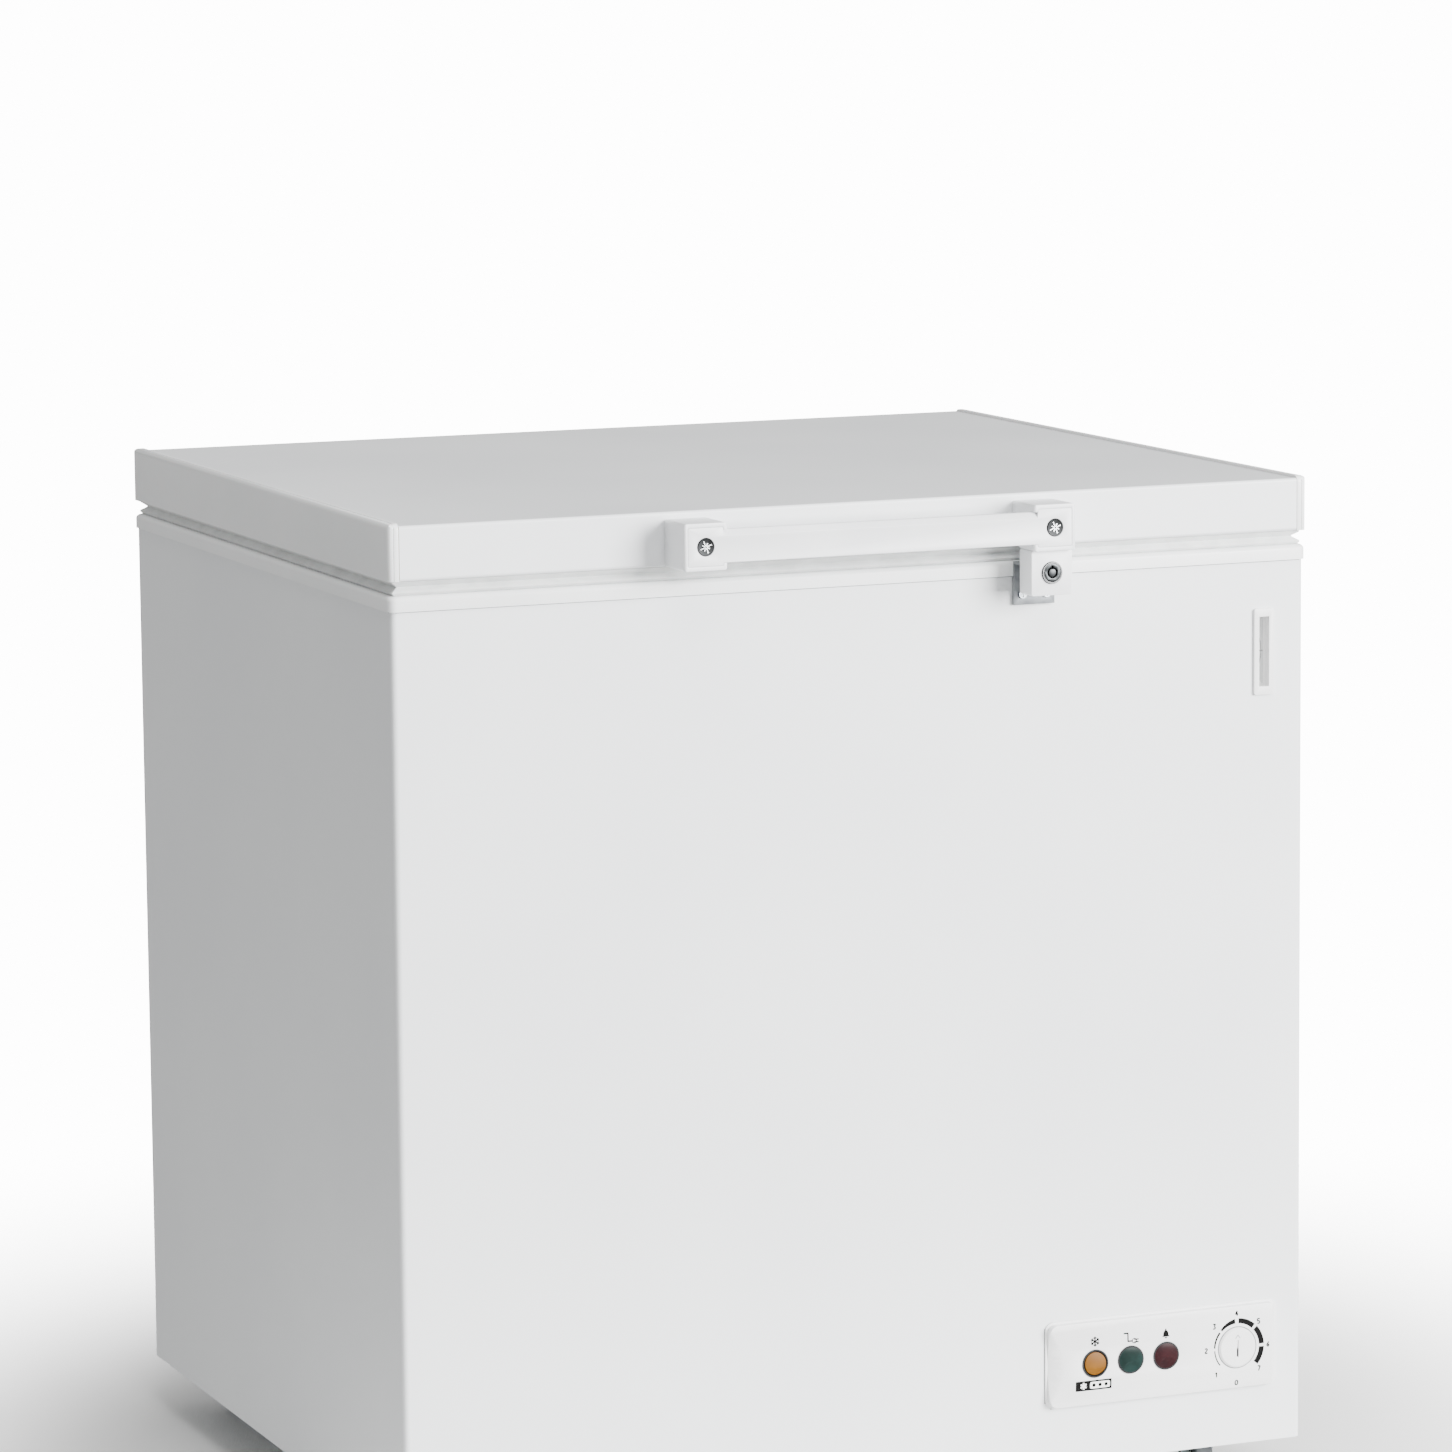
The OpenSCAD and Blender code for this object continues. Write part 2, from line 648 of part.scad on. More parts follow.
// A domed lens in the lamp housing numbered i
module lamp_lens(i) {
    placed() translate([lamp_x + i * lamp_pitch, face_y - 1.4, panel_z]) rotate([-90, 0, 0]) {
        cylinder(h = 1.2, r1 = lamp_r - 3, r2 = lamp_r - 1.3);
        translate([0, 0, 1.2]) cylinder(h = 17.6, r = lamp_r - 1.3);
    }
}
module power_lamp_lens() {
    color("#1f4d46") lamp_lens(1);
}
module alarm_lamp_lens() {
    color("#5a2329") lamp_lens(2);
}

// Amber rocker of the fast-freeze switch, which pivots at its middle
rocker_r = lamp_r - 2.4;
module super_switch_rocker() {
    color("#c98f3c") placed() translate([lamp_x, rocker_y, panel_z]) union() {
        intersection() {
            rotate([90, 0, 0]) cylinder(h = 20, r = rocker_r, center = true);
            along_x(-20, 20) polygon([[-7.4, -12], [-9.2, -4], [-7.6, 12], [3, 12], [3, -12]]);
        }
        bar_x([0.3 - lamp_r, 0, 0], rocker_pin_r, 2 * lamp_r - 0.6);
    }
}

// Thermostat behind the panel, with the hole for the knob's spindle
module thermostat_body() {
    color("#3a3d40") placed() difference() {
        union() {
            block([knob_x - 20, face_y + 14, panel_z - 22], [knob_x + 20, face_y + 44, panel_z + 22]);
            bar_y([knob_x, face_y + 10, panel_z], 9, 6);
        }
        bar_y([knob_x, face_y + 8, panel_z], 3 + run_fit, 26);
    }
}

// Coin-slotted thermostat knob on its spindle
module thermostat_knob() {
    color("#eeefee") placed() difference() {
        union() {
            bar_y([knob_x, face_y - 0.4, panel_z], knob_r, 9);
            bar_y([knob_x, face_y + 8, panel_z], 3, 22);
            translate([knob_x, face_y - 1.4, panel_z]) rotate([-90, 0, 0]) cylinder(h = 1, r1 = knob_r - 1.5, r2 = knob_r - 0.3);
        }
        block([knob_x - 0.9, face_y - 2, panel_z - 8], [knob_x + 0.9, face_y + 1.2, panel_z + 6.5]);
    }
}

// Loom from the panel back to the start relay
module wiring_loom() {
    color("#26282b") placed() pipe([
        [panel_x, face_y - 0.6 + housing_h + 0.05, panel_z], [panel_x, -half_d + 40, panel_z], [panel_x, -half_d + 80, panel_z - 30],
        [panel_x, comp_y - compressor_r - 90, comp_z + 30], [comp_x, comp_y - compressor_r - 60, comp_z + 60],
        [comp_x, comp_y - compressor_r - 34.05, comp_z + 60]
    ], 4.5);
}

// Housing of the strip thermometer: a framed window in front and a pocket behind
module thermometer_case() {
    color("#f0f1f1") placed() difference() {
        union() {
            translate([0, 0, gauge_z]) along_y(-half_d - 2.5, -half_d)
                translate([gauge_x, 0]) rounded_rect(gauge_w, gauge_h, 2);
            block([gauge_x - gauge_w / 2 + 2, -half_d, gauge_z - gauge_h / 2 + 2],
                [gauge_x + gauge_w / 2 - 2, -half_d + sheet, gauge_z + gauge_h / 2 - 2]);
            block([gauge_x - needle_reach - 12, -half_d + sheet, gauge_z - gauge_h / 2],
                [gauge_x + gauge_w / 2, -half_d + sheet + 12, gauge_z + gauge_h / 2]);
        }
        block([gauge_x - needle_reach - 10, -half_d + sheet + 1, gauge_z - gauge_h / 2 + 3],
            [gauge_x + gauge_w / 2 - 3, -half_d + sheet + 10, gauge_z + gauge_h / 2 - 3]);
        block([gauge_x - 4.6, -half_d - 3, gauge_z - gauge_h / 2 + 7], [gauge_x + 4.6, -half_d + 4, gauge_z + gauge_h / 2 - 7]);
    }
}

// Printed dial behind the needle, with the needle's bearing
module thermometer_dial() {
    color("#f4f4f2") placed() difference() {
        union() {
            block([gauge_x - needle_reach - 10, -half_d + sheet + 7.6, gauge_z - gauge_h / 2 + 3],
                [gauge_x + gauge_w / 2 - 3, -half_d + sheet + 8.6, gauge_z + gauge_h / 2 - 3]);
            bar_y([needle_x, -half_d + sheet + 5.6, gauge_z], 3.4, 3);
        }
        bar_y([needle_x, -half_d + sheet + 3, gauge_z], 1 + run_fit, 7);
    }
}
needle_x = gauge_x - needle_reach;

// Clear window
module thermometer_lens() {
    color("#c9d6da") placed() block([gauge_x - 4.6, -half_d - 1.6, gauge_z - gauge_h / 2 + 7],
        [gauge_x + 4.6, -half_d - 0.4, gauge_z + gauge_h / 2 - 7]);
}

// Needle that swings in front of the dial
module thermometer_needle() {
    color("#1c1c1c") placed() {
        bar_y([needle_x, -half_d + sheet + 3.6, gauge_z], 1, 3.8);
        difference() {
            union() {
                bar_y([needle_x, -half_d + sheet + 4, gauge_z], 2.6, 0.8);
                block([needle_x, -half_d + sheet + 4, gauge_z - 0.5], [gauge_x + 2.4, -half_d + sheet + 4.8, gauge_z + 0.5]);
            }
            bar_y([needle_x, -half_d + sheet + 3, gauge_z], 1, 4);
        }
    }
}

// Drain from the tank floor, through the base and out to the front
module drain_tube() {
    bend = 16;
    color("#d9dbda") placed() difference() {
        union() {
            bar_z([drain_x, drain_y, drain_z + bend], drain_r, tank_z + tank_t - drain_z - bend);
            translate([drain_x, drain_y - bend, drain_z + bend]) rotate([90, 0, -90])
                rotate([0, 180, 0]) rotate([0, 0, -90]) rotate_extrude(angle = 90) translate([bend, 0]) circle(drain_r);
            bar_y([drain_x, drain_y - bend - 24, drain_z], drain_r, 24);
        }
        bar_z([drain_x, drain_y, drain_z + bend], drain_r - 2, tank_z + 20);
        translate([drain_x, drain_y - bend, drain_z + bend]) rotate([90, 0, -90])
            rotate([0, 180, 0]) rotate([0, 0, -90]) rotate_extrude(angle = 90) translate([bend, 0]) circle(drain_r - 2);
        bar_y([drain_x, drain_y - bend - 25, drain_z], drain_r - 2, 25);
    }
}

// Plug that shuts the drain from inside the tank
module drain_plug() {
    color("#8d9296") placed() {
        bar_z([drain_x, drain_y, tank_z + tank_t - 14], drain_r - 2 - 0.1, 14.2);
        bar_z([drain_x, drain_y, tank_z + tank_t + 0.2], drain_r + 5, 3);
        block([drain_x - 7, drain_y - 1.5, tank_z + tank_t + 3.2], [drain_x + 7, drain_y + 1.5, tank_z + tank_t + 12]);
    }
}

// Striker that the lock's cam hooks under
lock_w = post_w - 1;
catch_z = rim_z - 24;
cam_half = 4;
lip_z = lock_z + cam_half + 0.6;
module lock_catch() {
    x0 = post_x - lock_w / 2;
    color("#a3a6a8") placed() difference() {
        union() {
            block([x0, lid_front - 2, catch_z], [x0 + lock_w, lid_front, lip_z + 2]);
            block([x0, lid_front, catch_z], [x0 + lock_w, -half_d, rim_z]);
            block([x0, lid_front - 11.5, lip_z], [x0 + 11.5, lid_front, lip_z + 2]);
        }
        for (p = catch_screw_places) bar_y([p, lid_front - 3, catch_z + 9], 1.9, 6);
    }
}
catch_screw_places = [for (s = [-1, 1]) post_x + s * 11];

// Two screws of the striker
module catch_screws() {
    color("#b9bcbe") placed() for (p = catch_screw_places) difference() {
        union() {
            bar_y([p, lid_front - 2, catch_z + 9], 1.9, overhang + 2);
            bar_y([p, lid_front - 4, catch_z + 9], 3.6, 2);
        }
        block([p - 2.6, lid_front - 5, catch_z + 8.6], [p + 2.6, lid_front - 3, catch_z + 9.4]);
        block([p - 0.4, lid_front - 5, catch_z + 6.4], [p + 0.4, lid_front - 3, catch_z + 11.6]);
    }
}

// Coated wire basket that hangs on the mouth by four hooks
module storage_basket() {
    x0 = basket_x - basket_w / 2;
    x1 = basket_x + basket_w / 2;
    y = hook_y - 14;
    z0 = basket_top - basket_h;
    across = 9;
    along = 22;
    color("#f2f3f3") placed() union() {
        for (z = [z0, z0 + basket_h / 2, basket_top - wire_t]) {
            for (s = [-1, 1]) block([x0, s * y - wire_t / 2, z], [x1, s * y + wire_t / 2, z + wire_t]);
            for (x = [x0, x1 - wire_t]) block([x, -y - wire_t / 2, z], [x + wire_t, y + wire_t / 2, z + wire_t]);
        }
        for (i = [0:across]) {
            x = x0 + i * (basket_w - wire_t) / across;
            block([x, -y, z0], [x + wire_t, y, z0 + wire_t]);
            for (s = [-1, 1]) block([x, s * y - wire_t / 2, z0], [x + wire_t, s * y + wire_t / 2, basket_top]);
        }
        for (i = [1:along - 1], x = [x0, x1 - wire_t]) {
            block([x, -y + i * 2 * y / along - wire_t / 2, z0], [x + wire_t, -y + i * 2 * y / along + wire_t / 2, basket_top]);
        }
        for (s = [-1, 1], x = [x0 + 20, x1 - 20 - wire_t]) {
            block([x, min(s * y, s * hook_y) - wire_t / 2, basket_top - wire_t],
                [x + wire_t, max(s * y, s * hook_y) + wire_t / 2, basket_top]);
            block([x, s * hook_y - wire_t / 2, basket_top - wire_t], [x + wire_t, s * hook_y + wire_t / 2, rim_top + slip + wire_t]);
            block([x, min(s * hook_y, s * (hook_y + 30)) - wire_t / 2, rim_top + slip],
                [x + wire_t, max(s * hook_y, s * (hook_y + 30)) + wire_t / 2, rim_top + slip + wire_t]);
        }
    }
}

// Four castor plates with their king pins
module castor_plates() {
    color("#b5b9bb") placed() for (x = [-1, 1], y = [-1, 1]) translate([x * castor_x, y * castor_y, 0]) difference() {
        union() {
            translate([0, 0, base_z - 2]) linear_extrude(2) rounded_rect(58, 58, 6);
            translate([0, 0, base_z - 3.2]) cylinder(h = 1.2, r = 15);
            translate([0, 0, 2 * wheel_r + 2]) cylinder(h = 6 - 2, r = 4);
            translate([0, 0, 2 * wheel_r + 1]) cylinder(h = 1.4, r = 6.5);
        }
        for (i = [-1, 1], j = [-1, 1]) translate([i * 22, j * 22, base_z - 3]) cylinder(h = 4, r = 3);
    }
}

function castor_place(i) = [(i % 2 == 0 ? -1 : 1) * castor_x, (i < 2 ? -1 : 1) * castor_y];

// Bent steel fork of the castor numbered i, with its axle
module castor_fork(i) {
    cheek = wheel_w / 2 + 1.5;
    crown_z = 2 * wheel_r + 2.6;
    color("#c2c6c8") placed() translate(castor_place(i)) difference() {
        union() {
            translate([0, 0, crown_z]) cylinder(h = base_z - 3.4 - crown_z, r = 15);
            block([-cheek - 2, -4, crown_z], [cheek + 2, 12 + trail - 8, base_z - 3.4]);
            for (s = [-1, 1]) along_x(s > 0 ? cheek : -cheek - 2, s > 0 ? cheek + 2 : -cheek) {
                polygon([[-6, crown_z + 0.6], [14, crown_z + 0.6], [trail + 6, wheel_r], [trail - 6, wheel_r]]);
                translate([trail, wheel_r]) circle(6);
            }
            bar_x([-cheek - 4, trail, wheel_r], 3, 2 * cheek + 8);
        }
        translate([0, 0, crown_z - 4]) cylinder(h = 20, r = 4 + run_fit);
    }
}

// Grey rubber-tyred wheel of the castor numbered i
module castor_wheel(i) {
    color("#4a4d50") placed() translate(castor_place(i)) difference() {
        bar_x([-wheel_w / 2, trail, wheel_r], wheel_r, wheel_w);
        for (s = [-1, 1]) bar_x([s > 0 ? wheel_w / 2 - 2 : -wheel_w / 2 - 1, trail, wheel_r], wheel_r - 4, 3);
        bar_x([-wheel_w, trail, wheel_r], 3 + run_fit, 2 * wheel_w);
    }
}

skin_x = lid_w / 2 - cap_w - 0.5;

// Steel sheet folded over the top, front and rear of the lid
module lid_skin() {
    return_d = 22;
    mid = (lid_z + lid_top) / 2;
    color("#e2e4e4") placed() difference() {
        along_x(-skin_x, skin_x) difference() {
            translate([0, mid]) rounded_rect(lid_d, lid_h, 2.5);
            translate([0, mid]) rounded_rect(lid_d - 2 * skin_t, lid_h - 2 * skin_t, 1.7);
            translate([return_d - lid_d / 2, lid_z - 1]) square([lid_d - 2 * return_d, 3]);
        }
        for (s = [-1, 1]) bar_y([s * post_x, lid_front - 1, post_z + post_h / 2], 2.5, 4);
        for (s = [-1, 1], dx = [-14, 14]) bar_y([s * hinge_span / 2 + dx, lid_rear - 2, hinge_screw_z], 2.4, 4);
    }
}
hinge_screw_z = lid_z + lid_h * 0.58;

// Moulded cap on each end of the lid, with a fine groove round it
module lid_end_caps() {
    x0 = lid_w / 2 - cap_w;
    color("#e9ebeb") placed() for (s = [0, 1]) mirror([s, 0, 0]) {
        difference() {
            intersection() {
                along_x(x0, lid_w / 2) union() {
                    translate([0, (lid_z + total_h) / 2]) rounded_rect(lid_d, total_h - lid_z, 5.5);
                    translate([-lid_d / 2, lid_z]) square([lid_d, 10]);
                }
                along_y(-lid_d, lid_d) union() {
                    translate([0, (lid_z + total_h) / 2]) rounded_rect(lid_w, total_h - lid_z, 5);
                    translate([-lid_w / 2, lid_z]) square([lid_w, 10]);
                }
                slab(lid_w, lid_d, 5, lid_z, total_h - lid_z);
            }
            difference() {
                along_x(x0 + 4, x0 + 4.7) square([3 * lid_d, 3 * total_h], center = true);
                along_x(x0, lid_w / 2) translate([0.8 - lid_d / 2, 0]) square([lid_d - 1.6, total_h - 0.8]);
            }
        }
        block([skin_x, -lid_d / 2 + 3, lid_z + 3], [x0 + 0.1, lid_d / 2 - 3, lid_top - 3]);
    }
}

// Foam inside the lid and its inner panel
pan_t = 1.2;
pan_w = tank_in_w - 2 * plug_gap;
pan_d = tank_in_d - 2 * plug_gap;
plug_z = lid_z + skin_t + pan_t - plug_h;
module lid_insulation() {
    color("#e8d9a8") placed() difference() {
        union() {
            difference() {
                along_x(-skin_x, skin_x) translate([0, (lid_z + lid_top) / 2])
                    rounded_rect(lid_d - 2 * skin_t, lid_h - 2 * skin_t, 1.7);
                block([-lid_w, -lid_d, lid_z - 1], [lid_w, lid_d, lid_z + skin_t + pan_t]);
            }
            slab(pan_w - 2 * pan_t, pan_d - 2 * pan_t, tank_r - pan_t, plug_z + pan_t, plug_h);
        }
        for (s = [-1, 1]) bar_y([s * post_x, lid_front - 1, post_z + post_h / 2], 2.5, 24);
        for (s = [-1, 1], dx = [-14, 14]) bar_y([s * hinge_span / 2 + dx, lid_rear - 16, hinge_screw_z], 2.4, 20);
    }
}

// Vacuum-formed inner panel of the lid
module lid_inner_panel() {
    color("#f3f4f4") placed() difference() {
        union() {
            block([-skin_x, lid_front + 3, lid_z + skin_t], [skin_x, lid_rear - 3, lid_z + skin_t + pan_t]);
            slab(pan_w, pan_d, tank_r, plug_z, plug_h);
        }
        slab(pan_w - 2 * pan_t, pan_d - 2 * pan_t, tank_r - pan_t, plug_z + pan_t, plug_h + 5);
    }
}

// Bellows gasket, mitred at its four corners
module lid_gasket() {
    outline = [[4.9, 1], [9.4, 0.56], [4.5, 0.23], [6.2, 0], [19, 0], [18, 0.5], [20, 0.66], [20, 1]];
    n = len(outline);
    inset = [for (p = outline) p[0] - overhang / 2];
    level = [for (p = outline) rim_top + p[1] * gasket_h];
    corners = [[-1, -1], [1, -1], [1, 1], [-1, 1]];
    points = [
        for (c = corners, k = [0:n - 1]) [c[0] * (lid_w / 2 - inset[k]), c[1] * (lid_d / 2 - inset[k]), level[k]]
    ];
    faces = [for (c = [0:3], k = [0:n - 1]) let (a = c * n, b = (c + 1) % 4 * n, j = (k + 1) % n)
        [a + k, b + k, b + j, a + j]];
    color("#d3d5d4") placed() polyhedron(points, faces);
}

// Two moulded posts, open in front to take the grip's end plates
module handle_posts() {
    color("#cfd1d2") placed() for (s = [-1, 1]) difference() {
        translate([s * post_x, 0, post_z + post_h / 2]) intersection() {
            along_y(grip_front, lid_front) rounded_rect(post_w, post_h, 2.5);
            translate([0, (grip_front + lid_front) / 2 + 2, 0]) slab(post_w, handle_reach + 4, 2.5, -post_h, 2 * post_h);
        }
        translate([s * post_x, 0, post_z + post_h / 2]) along_y(grip_front - 1, grip_front + handle_reach - 8)
            difference() {
                rounded_rect(plate_w, plate_h, 1.5);
                circle(8);
            }
        translate([s * post_x, 0, post_z + post_h / 2]) along_y(grip_front - 1, grip_front + grip_t + 0.5)
            rounded_rect(plate_w, plate_h, 1.5);
        block([min(0, s * post_x), grip_front - 1, grip_z - 0.1], [max(0, s * post_x), grip_front + grip_t + 0.5, grip_z + grip_h + 0.1]);
        bar_y([s * post_x, grip_front, post_z + post_h / 2], 2.5, handle_reach + 1);
        if (s > 0) block([post_x - post_w, lock_back, post_z - 1], [post_x + post_w, lid_front + 1, post_z + 6]);
    }
}

// One moulding: the grip bar and the plate at each end of it
module handle_bar() {
    bevel = 4.7;
    color("#eaeaec") placed() difference() {
        union() {
            along_x(-post_x, post_x) polygon([
                [grip_front + grip_t, grip_z], [grip_front, grip_z], [grip_front, grip_z + grip_h - bevel],
                [grip_front + bevel * 0.8, grip_z + grip_h], [grip_front + grip_t, grip_z + grip_h]
            ]);
            for (s = [-1, 1]) translate([s * post_x, 0, post_z + post_h / 2]) along_y(grip_front, grip_front + grip_t)
                rounded_rect(plate_w - 0.2, plate_h - 0.2, 1.4);
        }
        for (s = [-1, 1]) {
            bar_y([s * post_x, grip_front - 1, post_z + post_h / 2], 2.5, 20);
            bar_y([s * post_x, grip_front - 1, post_z + post_h / 2], 7.5, 5.5);
        }
    }
}

// Two long screws that hold the handle to the lid
module handle_screws() {
    color("#a9adb0") placed() for (s = [-1, 1]) {
        bar_y([s * post_x, grip_front + 4.5, post_z + post_h / 2], 2.5, handle_reach + 14);
        bar_y([s * post_x, grip_front + 1.8, post_z + post_h / 2], 4.5, 2.7);
    }
}

// Round covers over the screw heads
module handle_caps() {
    color("#8d9193") placed() for (s = [-1, 1]) {
        bar_y([s * post_x, grip_front, post_z + post_h / 2], 7.5, 1.6);
        translate([s * post_x, grip_front - 0.6, post_z + post_h / 2]) rotate([-90, 0, 0]) cylinder(h = 0.6, r1 = 6.9, r2 = 7.5);
    }
}

// Lock block under the right post, with its chrome ring
module lock_housing() {
    color("#c6c8ca") placed() difference() {
        translate([post_x, 0, lock_z]) along_y(lock_front, lock_back) rounded_rect(lock_w, lock_h, 2);
        bar_y([post_x, lock_front - 1, lock_z], barrel_r + run_fit, 60);
        bar_y([post_x, lock_front - 1, lock_z], 9, 3);
    }
    color("#dfe1e3") placed() difference() {
        bar_y([post_x, lock_front - 1.6, lock_z], 9, 3.6);
        bar_y([post_x, lock_front - 3, lock_z], barrel_r + run_fit, 10);
    }
}

// Turning barrel with a round keyway
module lock_barrel() {
    color("#aeb2b5") placed() difference() {
        bar_y([post_x, lock_front - 1.1, lock_z], barrel_r, cam_back - cam_t - lock_front + 1.1);
        difference() {
            bar_y([post_x, lock_front - 2, lock_z], 4.6, 9);
            bar_y([post_x, lock_front - 3, lock_z], 3.2, 12);
        }
        block([post_x - 0.8, lock_front - 2, lock_z + 3], [post_x + 0.8, lock_front + 7, lock_z + 6]);
    }
}

// Cam on the barrel's rear end, held by a screw
module lock_cam() {
    color("#9a9ea1") placed() difference() {
        union() {
            bar_y([post_x, cam_back - cam_t, lock_z], 6, cam_t);
            block([post_x - cam_half, cam_back - cam_t, lock_z - cam_reach], [post_x + cam_half, cam_back, lock_z]);
            bar_y([post_x, cam_back, lock_z], 3.4, 1.8);
        }
        block([post_x - 2.6, cam_back + 1, lock_z - 0.4], [post_x + 2.6, cam_back + 3, lock_z + 0.4]);
    }
}

// Rear hinge bracket with its pin and spring, at each of the two places
hinge_half = 30;
module hinge_brackets() {
    leaf_t = 2.5;
    leaf = inner_rear + sheet;
    color("#aeb3b6") placed() for (s = [-1, 1]) translate([s * hinge_span / 2, 0, 0]) {
        difference() {
            block([-hinge_half - 2, leaf, pivot_z - 66], [hinge_half + 2, leaf + leaf_t, pivot_z - 8]);
            for (dx = [-18, 18], dz = [18, 50]) bar_y([dx, leaf - 1, pivot_z - dz], 2.4, 5);
        }
        for (x = [-hinge_half - 2, hinge_half]) difference() {
            along_x(x, x + 2) {
                polygon([[leaf + leaf_t, pivot_z - 58], [leaf + leaf_t, pivot_z - 12], [pivot_y - 6, pivot_z - 4],
                    [pivot_y, pivot_z], [pivot_y + knuckle_r, pivot_z]]);
                translate([pivot_y, pivot_z]) circle(knuckle_r);
            }
            bar_x([x - 1, pivot_y, pivot_z], 4, 4);
        }
        bar_x([-hinge_half - 4, pivot_y, pivot_z], 4, 2 * hinge_half + 8);
        for (dx = [-18, 18], dz = [18, 50]) {
            bar_y([dx, leaf - 7, pivot_z - dz], 2.4, 7 + leaf_t);
            bar_y([dx, leaf + leaf_t, pivot_z - dz], 5, 2.6);
        }
        pipe(concat(
            [for (i = [0:50]) [-15 + 0.6 * i, pivot_y + 6 * cos(i * 40), pivot_z + 6 * sin(i * 40)]],
            [[16, pivot_y + 4, pivot_z - 12], [16, leaf + leaf_t + 2.2, pivot_z - 30], [16, leaf + leaf_t + 1.4, pivot_z - 40]]
        ), 1.2, 6);
    }
}

// Hinge arms screwed to the rear of the lid, at each of the two places
module hinge_arms() {
    arm_x = 22;
    color("#aeb3b6") placed() for (s = [-1, 1]) translate([s * hinge_span / 2, 0, 0]) {
        difference() {
            block([-arm_x - 2, lid_rear, lid_z + 3], [arm_x + 2, lid_rear + 2, lid_top - 4]);
            for (dx = [-14, 14]) bar_y([dx, lid_rear - 1, hinge_screw_z], 2.4, 5);
        }
        for (x = [-arm_x - 2, arm_x]) difference() {
            along_x(x, x + 2) {
                polygon([[lid_rear + 2, lid_z + 3], [lid_rear + 2, lid_z + 30], [pivot_y + 6, pivot_z + 4],
                    [pivot_y, pivot_z], [pivot_y - 7, pivot_z]]);
                translate([pivot_y, pivot_z]) circle(knuckle_r - 1);
            }
            bar_x([x - 1, pivot_y, pivot_z], 4 + run_fit, 4);
        }
        for (dx = [-14, 14]) {
            bar_y([dx, lid_rear - 14, hinge_screw_z], 2.4, 16);
            bar_y([dx, lid_rear + 2, hinge_screw_z], 5, 2.6);
        }
    }
}

cabinet_wrapper();
rear_panel();
base_plate();
cabinet_insulation();
machine_bay_lining();
tank_liner();
top_frame();
evaporator_coil();
condenser_coil();
compressor_tray();
compressor();
compressor_mounts();
compressor_bolts();
starter_cover();
filter_drier();
refrigerant_lines();
side_grille();
rear_cover();
cover_screws();
control_panel();
lamp_housings();
power_lamp_lens();
alarm_lamp_lens();
super_switch_rocker();
thermostat_body();
thermostat_knob();
wiring_loom();
cord_gland();
thermometer_case();
thermometer_dial();
thermometer_lens();
thermometer_needle();
drain_tube();
drain_plug();
lock_catch();
catch_screws();
storage_basket();
castor_plates();
castor_fork(0);  // castor_front_left
castor_fork(1);  // castor_front_right
castor_fork(2);  // castor_rear_left
castor_fork(3);  // castor_rear_right
castor_wheel(0);  // wheel_front_left
castor_wheel(1);  // wheel_front_right
castor_wheel(2);  // wheel_rear_left
castor_wheel(3);  // wheel_rear_right
lid_skin();
lid_end_caps();
lid_insulation();
lid_inner_panel();
lid_gasket();
handle_posts();
handle_bar();
handle_screws();
handle_caps();
lock_housing();
lock_barrel();
lock_cam();
hinge_brackets();
hinge_arms();
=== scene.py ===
import math

import bmesh
import bpy
from mathutils import Matrix, Vector


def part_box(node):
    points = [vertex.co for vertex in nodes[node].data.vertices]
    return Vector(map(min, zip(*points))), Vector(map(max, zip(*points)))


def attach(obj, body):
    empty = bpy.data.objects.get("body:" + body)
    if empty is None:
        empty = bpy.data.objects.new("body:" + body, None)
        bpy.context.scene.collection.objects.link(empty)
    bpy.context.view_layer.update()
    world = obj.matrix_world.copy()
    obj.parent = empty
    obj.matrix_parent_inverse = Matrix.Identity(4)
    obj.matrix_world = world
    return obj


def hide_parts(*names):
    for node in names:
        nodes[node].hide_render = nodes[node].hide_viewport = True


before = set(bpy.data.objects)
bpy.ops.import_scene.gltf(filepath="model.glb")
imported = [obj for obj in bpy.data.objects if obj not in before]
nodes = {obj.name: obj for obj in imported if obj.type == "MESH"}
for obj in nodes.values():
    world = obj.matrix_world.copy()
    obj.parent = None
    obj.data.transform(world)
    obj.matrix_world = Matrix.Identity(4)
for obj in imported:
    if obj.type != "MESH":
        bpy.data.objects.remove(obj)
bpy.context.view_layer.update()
MM = 0.001

# ---------------------------------------------------------------- camera, light and floor
# The room is a white studio: a pale seamless floor, an even white sky, one big soft
# light from the front right and a weaker one above, so the left side falls into grey.


def srgb(hex_value):
    """Linear colour of an sRGB hex value such as #c0c2c1."""
    channels = [int(hex_value[i : i + 2], 16) / 255 for i in (1, 3, 5)]
    linear = [c / 12.92 if c <= 0.04045 else ((c + 0.055) / 1.055) ** 2.4 for c in channels]
    return (*linear, 1.0)


def add(tree, kind, links=None, **settings):
    """Adds one node. links gives each input a number, a colour or another node's output."""
    made = tree.nodes.new(kind)
    for key, value in settings.items():
        setattr(made, key, value)
    for key, value in (links or {}).items():
        if isinstance(value, bpy.types.NodeSocket):
            tree.links.new(value, made.inputs[key])
        else:
            made.inputs[key].default_value = value
    return made


